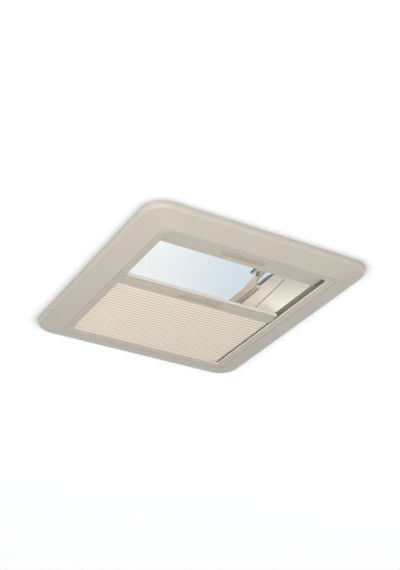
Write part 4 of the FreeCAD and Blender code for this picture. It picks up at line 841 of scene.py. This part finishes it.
def spun(outline, sides):
    """A mesh round Z from an outline of (radius, level), which starts and ends on the axis."""
    mesh = bmesh.new()
    rings = []
    for radius, level in outline:
        if radius == 0.0:
            rings.append([mesh.verts.new((0, 0, level * MM))])
            continue
        rings.append([mesh.verts.new(Vector((radius * math.cos(math.tau * step / sides),
                                             radius * math.sin(math.tau * step / sides), level)) * MM)
                      for step in range(sides)])
    for ring, following in zip(rings, rings[1:]):
        for step in range(sides):
            after = (step + 1) % sides
            corners = [ring[step % len(ring)], following[step % len(following)],
                       following[after % len(following)], ring[after % len(ring)]]
            mesh.faces.new(list(dict.fromkeys(corners)))
    return closed(mesh)


def press_cross(item, head_radius, head_height):
    cross = bmesh.new()
    for turn in (0, 90):
        arm = bmesh.ops.create_cube(cross, size=1.0)["verts"]
        bmesh.ops.scale(cross, verts=arm, vec=Vector((head_radius * CROSS_LENGTH, head_radius * CROSS_WIDTH,
                                                      head_height)) * MM)
        bmesh.ops.rotate(cross, verts=arm, cent=(0, 0, 0), matrix=Matrix.Rotation(math.radians(turn), 3, "Z"))
        bmesh.ops.translate(cross, verts=arm, vec=(0, 0, head_height * MM))
    cutter = object_from(f"{item.name}_cross", cross)
    press = item.modifiers.new("cross_recess", "BOOLEAN")
    press.operation = "DIFFERENCE"
    press.solver = "EXACT"
    press.use_self = True
    press.object = cutter
    applied(item)
    bpy.data.objects.remove(cutter)


def screw_template(name, head_radius, head_height, radius, length, pitch):
    """A pan-head screw along +Z, its head's underside at the origin."""
    outline = [(0.0, head_height), (head_radius * 0.35, head_height), (head_radius * 0.7, head_height * 0.88),
               (head_radius * 0.93, head_height * 0.55), (head_radius, head_height * 0.2), (head_radius, 0.0),
               (radius, 0.0)]
    level = 0.0
    while level - pitch > -length + pitch:
        outline += [(radius, level - 0.35 * pitch), (radius * 0.86, level - 0.5 * pitch),
                    (radius * 0.86, level - 0.85 * pitch), (radius, level - pitch)]
        level -= pitch
    outline += [(radius, -length + radius * 0.3), (radius * 0.6, -length), (0.0, -length)]
    item = object_from(name, spun(outline, SCREW_SIDES))
    press_cross(item, head_radius, head_height)
    smooth(item.data, 35)
    return item


rail_screw = screw_template("rail_screw", 3.5, 1.6, 2.0, 5.6, 0.8)
clamp_screw = screw_template("clamp_screw", 4.2, 3.0, 2.4, 32.0, 1.6)
print("faces in a clamp screw:", len(clamp_screw.data.polygons))

# %% [markdown]
# Six screws hold the rails from the sides, and eight long ones draw the clamps up from below. The
# long ones are turned by different amounts, so that the crosses in their heads don't all line up.

# %% Screws
RAIL_SCREW_X, RAIL_SCREW_Z = 190.4, 39.0
RAIL_SCREW_YS = (-172.0, -71.0, 30.0)
CLAMP_REACH, CLAMP_ASIDE, CLAMP_LEVEL = 184.0, 100.0, -37.0


def forget(*templates):
    for template in templates:
        bpy.data.objects.remove(template)


rail_places = [((side * RAIL_SCREW_X, y, RAIL_SCREW_Z), (0.0, side * math.radians(-90), 0.0))
               for side in (1, -1) for y in RAIL_SCREW_YS]
clamp_places = []
for index, (x, y) in enumerate([(CLAMP_REACH, CLAMP_ASIDE), (CLAMP_ASIDE, CLAMP_REACH)]):
    for side_x in (1, -1):
        for side_y in (1, -1):
            clamp_places.append(((side_x * x, side_y * y, CLAMP_LEVEL), (math.pi, 0.0, 0.6 * index + side_x)))
for template, places in ((rail_screw, rail_places), (clamp_screw, clamp_places)):
    kind = template.name
    screws = grown(f"{kind}_set", copies, places, template=template, size=1.0, finish=finishes["zinc_steel"])
    dress(screws, f"{kind}s")
forget(rail_screw, clamp_screw)
print("screws:", len(rail_places) + len(clamp_places))

# %% [markdown]
# Pins and knobs are turned parts: one outline, spun about an axis along X. A pin has a flat head
# with a soft edge. The bow's knob is moulded: a shallow dome with a dimple in its middle, where the
# photograph shows a dark spot.

# %% Pins and knobs
def turned_on_x(name, outline, y, z, sides=(1,), segments=40):
    """A piece turned about the line along X at (y, z), on one side or both. The outline is (x, radius)."""
    mesh = bmesh.new()
    for side in sides:
        rings = []
        for x, radius in outline:
            angles = [math.tau * segment / segments for segment in range(segments)]
            rings.append([mesh.verts.new(Vector((side * x, y + radius * math.cos(angle),
                                                 z + radius * math.sin(angle))) * MM) for angle in angles])
        join_loops(mesh, rings)
        mesh.faces.new(rings[0])
        mesh.faces.new(rings[-1])
    item = object_from(name, closed(mesh))
    smooth(item.data)
    return item


def pin_outline(start, end, radius, heads, edge=0.4):
    """A pin's outline from start to end, with a head at the places in heads: (from, to, radius)."""
    outline = [(start, 0.6 * radius), (start, radius)] if heads[0][0] > start else []
    for low, high, wide in heads:
        if low > start:
            outline.append((low, radius))
        outline += [(low, wide - edge), (low + edge * 0.3, wide - edge * 0.3), (low + edge, wide),
                    (high - edge, wide), (high - edge * 0.3, wide - edge * 0.3), (high, wide - edge)]
        if high < end:
            outline.append((high, radius))
    if heads[-1][1] < end:
        outline += [(end - edge, radius), (end, radius - edge)]
    return outline


BOTH_SIDES = (1, -1)
HINGE_PLACE = (222.0, 50.0)
STAY_PIVOT = (24.0, 72.0)
BOW_PIVOT = (16.5, 63.5)
SHOE_PLACE = (-174.0, 50.0)

hinge_outline = pin_outline(99.9, 140.1, 3.0, [(99.9, 101.5, 4.5), (138.5, 140.1, 4.5)])
dress(turned_on_x("hinge_pin_pair", hinge_outline, *HINGE_PLACE, sides=BOTH_SIDES), "hinge_pins")
stay_outline = pin_outline(170.4, 178.7, 2.5, [(177.1, 178.7, 4.5)])
dress(turned_on_x("stay_pin_pair", stay_outline, *STAY_PIVOT, sides=BOTH_SIDES), "stay_pivot_pins")
shoe_outline = pin_outline(172.9, 188.5, 2.5, [(172.9, 174.5, 4.5)])
for side, direction in (("right", 1), ("left", -1)):
    outline = [(direction * x, radius) for x, radius in shoe_outline]
    dress(turned_on_x(f"shoe_pin_{side}_turned", outline, *SHOE_PLACE), f"shoe_pin_{side}")

knob_outline = [(161.5, 0.5), (161.4, 1.2), (161.1, 1.8), (160.7, 2.1), (160.6, 2.5), (160.65, 3.6),
                (160.9, 5.0), (161.5, 6.0), (162.1, 6.4), (162.8, 6.5), (163.3, 6.3), (163.3, 3.0),
                (173.0, 3.0), (173.4, 2.6)]
dress(turned_on_x("bow_knobs", knob_outline, *BOW_PIVOT, sides=BOTH_SIDES), "bow_pivot_pins")
print("knob radius:", max(radius for _, radius in knob_outline), "mm")

# %% [markdown]
# The bow's tube is turned, and the sleeve round its middle has fine ribs for the fingers. Each rib
# is a low ring, and geometry nodes set it out along the sleeve. Rib and sleeve are one soft piece.

# %% Handle bow
TUBE_PLACE = (157.75, 48.25)
TUBE_HALF, TUBE_RADIUS = 163.6, 7.0
SLEEVE_RADIUS = 9.0
RIB_COUNT, RIB_HEIGHT, RIB_SPACING = 23, 0.7, 4.6
rib_foot = SLEEVE_RADIUS - RIB_HEIGHT

rows = Pattern("copies_in_a_row", template="Object", count="Int", spacing="Vector", start="Vector",
               finish="Material")
row = rows.add("GeometryNodeMeshLine", {"mode": "OFFSET"},
               {"Count": rows.given["count"], "Start Location": rows.given["start"],
                "Offset": rows.given["spacing"]})
rows.end(rows.add("GeometryNodeInstanceOnPoints", None, {"Points": row, "Instance": rows.template()}))


def both_ways(half_outline):
    """A whole outline from the half of it on +X, given from its end inwards."""
    return [(-x, radius) for x, radius in half_outline] + half_outline[::-1]


tube_outline = both_ways([(TUBE_HALF, TUBE_RADIUS - 0.6), (TUBE_HALF - 0.4, TUBE_RADIUS)])
dress(turned_on_x("bow_tube_turned", tube_outline, *TUBE_PLACE), "bow_tube")
rib_outline = both_ways([(1.4, rib_foot - 0.5), (1.3, rib_foot), (0.8, SLEEVE_RADIUS - 0.1)])
rib_outline.insert(3, (0.0, SLEEVE_RADIUS))
rib = turned_on_x("one_rib", rib_outline, 0.0, 0.0, segments=32)
ribs = grown("sleeve_ribs", rows, [], template=rib, count=RIB_COUNT, finish=finishes["grey_plastic"],
             spacing=(RIB_SPACING * MM, 0, 0),
             start=(-RIB_SPACING * (RIB_COUNT - 1) / 2 * MM, TUBE_PLACE[0] * MM, TUBE_PLACE[1] * MM))
forget(rib)
sleeve_outline = both_ways([(60.0, 7.05), (60.0, 8.2), (59.4, 8.8), (58.6, SLEEVE_RADIUS),
                            (54.0, SLEEVE_RADIUS), (53.0, rib_foot)])
dress(turned_on_x("bow_sleeve", sleeve_outline, *TUBE_PLACE), "bow_grip")
dress(ribs, "bow_grip", stands_for_it=False)
for side in ("right", "left"):
    dress(rounded_copy(f"bow_arm_{side}", 1.8, segments=4), f"bow_arm_{side}")
print("ribs:", RIB_COUNT)

# %% [markdown]
# A pleated cloth is one fold, again and again. The fold is drawn from crest to crest: straight
# flanks, and a short curve at each crest and valley. Its two faces lie a cloth's thickness apart.

# %% One fold
CLOTH_HALF = 172.0
SOFT_SHARE = 0.1


def fold_template(name, pitch, height, thickness):
    """One fold along +Y, open at both ends, its crests at the bottom, and its length along the cloth."""
    half, soft = pitch / 2, pitch * SOFT_SHARE
    slope = (height - thickness) / (half - soft)
    middle = []
    for y in (0.0, 0.4 * soft, 0.75 * soft, soft, 0.5 * half, half - soft, half - 0.75 * soft,
              half - 0.4 * soft, half):
        if y <= soft:
            middle.append((y, slope * y * y / (2 * soft), slope * y / soft))
        elif y < half - soft:
            middle.append((y, slope * (y - soft / 2), slope))
        else:
            left = half - y
            middle.append((y, height - thickness - slope * left * left / (2 * soft), slope * left / soft))
    flank = sum(math.dist(first[:2], second[:2]) for first, second in zip(middle, middle[1:]))
    middle += [(pitch - y, z, -lean) for y, z, lean in reversed(middle[:-1])]
    mesh = bmesh.new()
    sheets = []
    for side in (-1, 1):
        sheet = []
        for y, z, lean in middle:
            length = math.hypot(1.0, lean)
            out_y = 0.0 if y in (0.0, pitch) else -lean / length * side * thickness / 2
            out_z = side * thickness / 2 / length
            sheet.append([mesh.verts.new(Vector((x, y + out_y, thickness / 2 + z + out_z)) * MM)
                          for x in (-CLOTH_HALF, CLOTH_HALF)])
        sheets.append(sheet)
    lower, upper = sheets
    for index in range(len(middle) - 1):
        for sheet in sheets:
            mesh.faces.new((sheet[index][0], sheet[index + 1][0], sheet[index + 1][1], sheet[index][1]))
        for end in (0, 1):
            mesh.faces.new((lower[index][end], lower[index + 1][end],
                            upper[index + 1][end], upper[index][end]))
    return object_from(name, mesh), 2 * flank


print("cloth width:", 2 * CLOTH_HALF, "mm")

# %% [markdown]
# A cloth folds and unfolds as its bar travels, and its fold lines stay evenly spread. Here the sheet
# is drawn in strips of a few folds at one pose, evenly spread from the bar's edge to the headrail,
# and the strips don't follow the bar. Geometry nodes repeat the fold along the strip.


def blend_span(share):
    """Where a strip's blend starts and ends, so that it moves by its share and doesn't bunch up."""
    low, high = 0.0, 1.0
    for _ in range(40):
        guess = (low + high) / 2
        if guess * guess * (3 - 2 * guess) < share:
            low = guess
        else:
            high = guess
    length = 6 * low * (1 - low)
    return share - low * length, share + (1 - low) * length


def strip_of(name, slot, **pattern_inputs):
    """A strip of folds with its ends closed and its faces outwards."""
    strip = grown(name, rows, [], finish=finishes[slot], **pattern_inputs)
    mesh = bmesh.new()
    mesh.from_mesh(strip.data)
    bmesh.ops.remove_doubles(mesh, verts=mesh.verts, dist=2e-6)
    bmesh.ops.holes_fill(mesh, edges=[edge for edge in mesh.edges if edge.is_boundary])
    bmesh.ops.recalc_face_normals(mesh, faces=mesh.faces)
    mesh.to_mesh(strip.data)
    mesh.free()
    smooth(strip.data, 50)
    strip.data.materials.clear()
    strip.data.materials.append(finishes[slot])
    return strip


def hang_blind(blind, bar_y, head_y, low, high, folds, thickness):
    """A pleated sheet from the bar's edge to the headrail. folds is the number in each strip."""
    travel = bar_y - head_y
    pitch = abs(travel) / sum(folds)
    template, fold_length = fold_template(f"{blind}_fold", pitch, high - low, thickness)
    start = min(bar_y, head_y)
    for index, count in enumerate(folds):
        strip = strip_of(f"{blind}_{index + 1}", slot_of(f"{blind}_cloth"), template=template, count=count,
                         spacing=(0, pitch * MM, 0), start=(0, start * MM, low * MM))
        first, last = blend_span((start + pitch * count / 2 - head_y) / travel)
        (head_y + first * travel) * MM
        (head_y + last * travel) * MM
        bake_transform(strip)
        if index == 0:
            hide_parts(f"{blind}_cloth")
        start += pitch * count
    forget(template)
    return fold_length * sum(folds)


blackout_flat = hang_blind("blackout", -3.7, 221.5, -63.2, -56.4, [2] * 11 + [1], 0.45)
screen_flat = hang_blind("screen", -199.3, -221.5, -55.6, -50.8, [2] * 22, 0.14)
print("flat lengths, mm:", round(blackout_flat), round(screen_flat))

# %% [markdown]
# The dome is two vacuum-formed skins of clear acrylic, joined at their flanges. The inner one is a
# pan with a flat roof. It is one closed shell, and its loops run over the outside to the flange's
# edge and back along the inside.

# %% Inner skin of the dome
SKIN, DOME_FLOOR = 3.0, 58.0
SKIN_EDGE, SKIN_CORNER, SKIN_SOFT = 246.0, 60.0, 0.5
PAN_FOOT, PAN_ROOF, PAN_RADIUS, PAN_TOP, PAN_SOFT = 190.0, 187.0, 28.0, 90.0, 6.0


def square(half, radius, level):
    return (half, half, radius, level)


def soft_turn(half, radius, level, reach, steps=5):
    """Loops round a soft edge: from a wall's top to a roof's edge."""
    loops = []
    for step in range(steps + 1):
        turn_in = math.radians(90 * step / steps)
        inset = reach * (1 - math.cos(turn_in))
        loops.append(square(half - inset, radius - inset, level - reach + reach * math.sin(turn_in)))
    return loops


def flange_edge(level):
    """Loops round the soft edge of a skin's flange, from its top down to a level."""
    edge, corner = SKIN_EDGE - SKIN_SOFT, SKIN_CORNER - SKIN_SOFT
    return [square(edge, corner, level + SKIN), square(SKIN_EDGE, SKIN_CORNER, level + SKIN - SKIN_SOFT),
            square(SKIN_EDGE, SKIN_CORNER, level + SKIN_SOFT), square(edge, corner, level)]


pan_flange = DOME_FLOOR + SKIN
pan = soft_turn(PAN_ROOF, PAN_RADIUS, PAN_TOP, PAN_SOFT)[::-1]
pan += [square(PAN_FOOT - 0.3, PAN_RADIUS, pan_flange + 2.2),
        square(PAN_FOOT + 0.4, PAN_RADIUS + 0.6, pan_flange + 0.8),
        square(PAN_FOOT + 2.2, PAN_RADIUS + 2.2, pan_flange)]
pan += flange_edge(DOME_FLOOR)
pan += [square(PAN_FOOT - SKIN + 0.8, PAN_RADIUS - 2.2, DOME_FLOOR),
        square(PAN_FOOT - SKIN, PAN_RADIUS - SKIN, DOME_FLOOR + 0.8)]
pan += soft_turn(PAN_ROOF - SKIN, PAN_RADIUS - SKIN, PAN_TOP - SKIN, PAN_SOFT - SKIN)
dress(looped("pan_skin", pan, 10, filled=True), "dome_inner_skin")
print("pan:", len(pan), "loops")

# %% [markdown]
# The outer skin is a crown. Its walls bulge: each loop is a share of the crown's foot, and the
# share falls slowly at first and fast near the top, until the nearly flat middle is left.

# %% Outer skin of the dome
CROWN_FOOT, CROWN_TOP = 232.0, 110.0
FLAT_SHARE, CORNER_SHARE = 0.44, 0.72
CROWN_STEPS = 20


def crown_loops(foot, corner, low, high, first_step):
    loops = []
    for step in range(first_step, CROWN_STEPS + 1):
        share = math.sin(math.radians(90 * step / CROWN_STEPS))
        bulge = math.sqrt(max(1 - share ** 3, 0.0))
        loops.append(square(foot * (FLAT_SHARE + (1 - FLAT_SHARE) * bulge),
                            corner * (CORNER_SHARE + (1 - CORNER_SHARE) * bulge), low + (high - low) * share))
    return loops


crown_flange = pan_flange + SKIN
crown = crown_loops(CROWN_FOOT, SKIN_CORNER, pan_flange, CROWN_TOP, 2)[::-1]
crown += [square(CROWN_FOOT + more, SKIN_CORNER, crown_flange + rise)
          for more, rise in ((0.2, 1.6), (0.9, 0.5), (2.4, 0.0))]
crown += flange_edge(pan_flange)
crown += [square(CROWN_FOOT - SKIN + 0.6, SKIN_CORNER - SKIN, pan_flange)]
crown += crown_loops(CROWN_FOOT - SKIN, SKIN_CORNER - SKIN, pan_flange, CROWN_TOP - SKIN, 1)
dress(looped("crown_skin", crown, 10, filled=True), "dome_outer_skin")
print("crown:", len(crown), "loops")

# %% [markdown]
# Everything else has its right shape in the CAD already and only lacks soft edges. A stamped or
# moulded edge is never sharp. Each of these pieces is a rounded copy, and its edges are mostly
# softer in plastic than in steel. Twins, one on the right and one on the left, are listed once.

# %% Rounded pieces
EDGES = {
    "light_well": 0.3, "outer_frame": 0.8, "frame_shroud": 0.8, "roof_seal": 0.4, "edge_seal": 0.7,
    "blind_frame": 0.4, "track": 0.2, "blackout_headrail": 0.4, "screen_headrail": 0.4, "rail": 0.3,
    "rail_brackets": 0.4, "clamp_claws": 0.5, "hinge_bracket": 0.6, "hinge_leaf": 0.5,
    "dome_edge_trim": 1.2, "dome_bracket": 0.4, "bracket_pad": 0.3, "stay": 0.35, "shoe": 0.5,
    "blackout_runners": 0.4, "screen_runners": 0.4,
}
for kind, width in EDGES.items():
    for node in (kind,) if kind in frame["nodes"] else (f"{kind}_right", f"{kind}_left"):
        dress(rounded_copy(node, width), node)
print("kinds of rounded piece:", len(EDGES))

# %% [markdown]
# The CAD's own nodes are all replaced now, but each still gets its finish, so that no view ever
# shows a bare solid.

# %% Finishes on the CAD nodes
for node, item in frame["nodes"].items():
    item.data.materials.clear()
    item.data.materials.append(finishes[slot_of(node)])
print("finished nodes:", len(frame["nodes"]))

# %% [markdown]
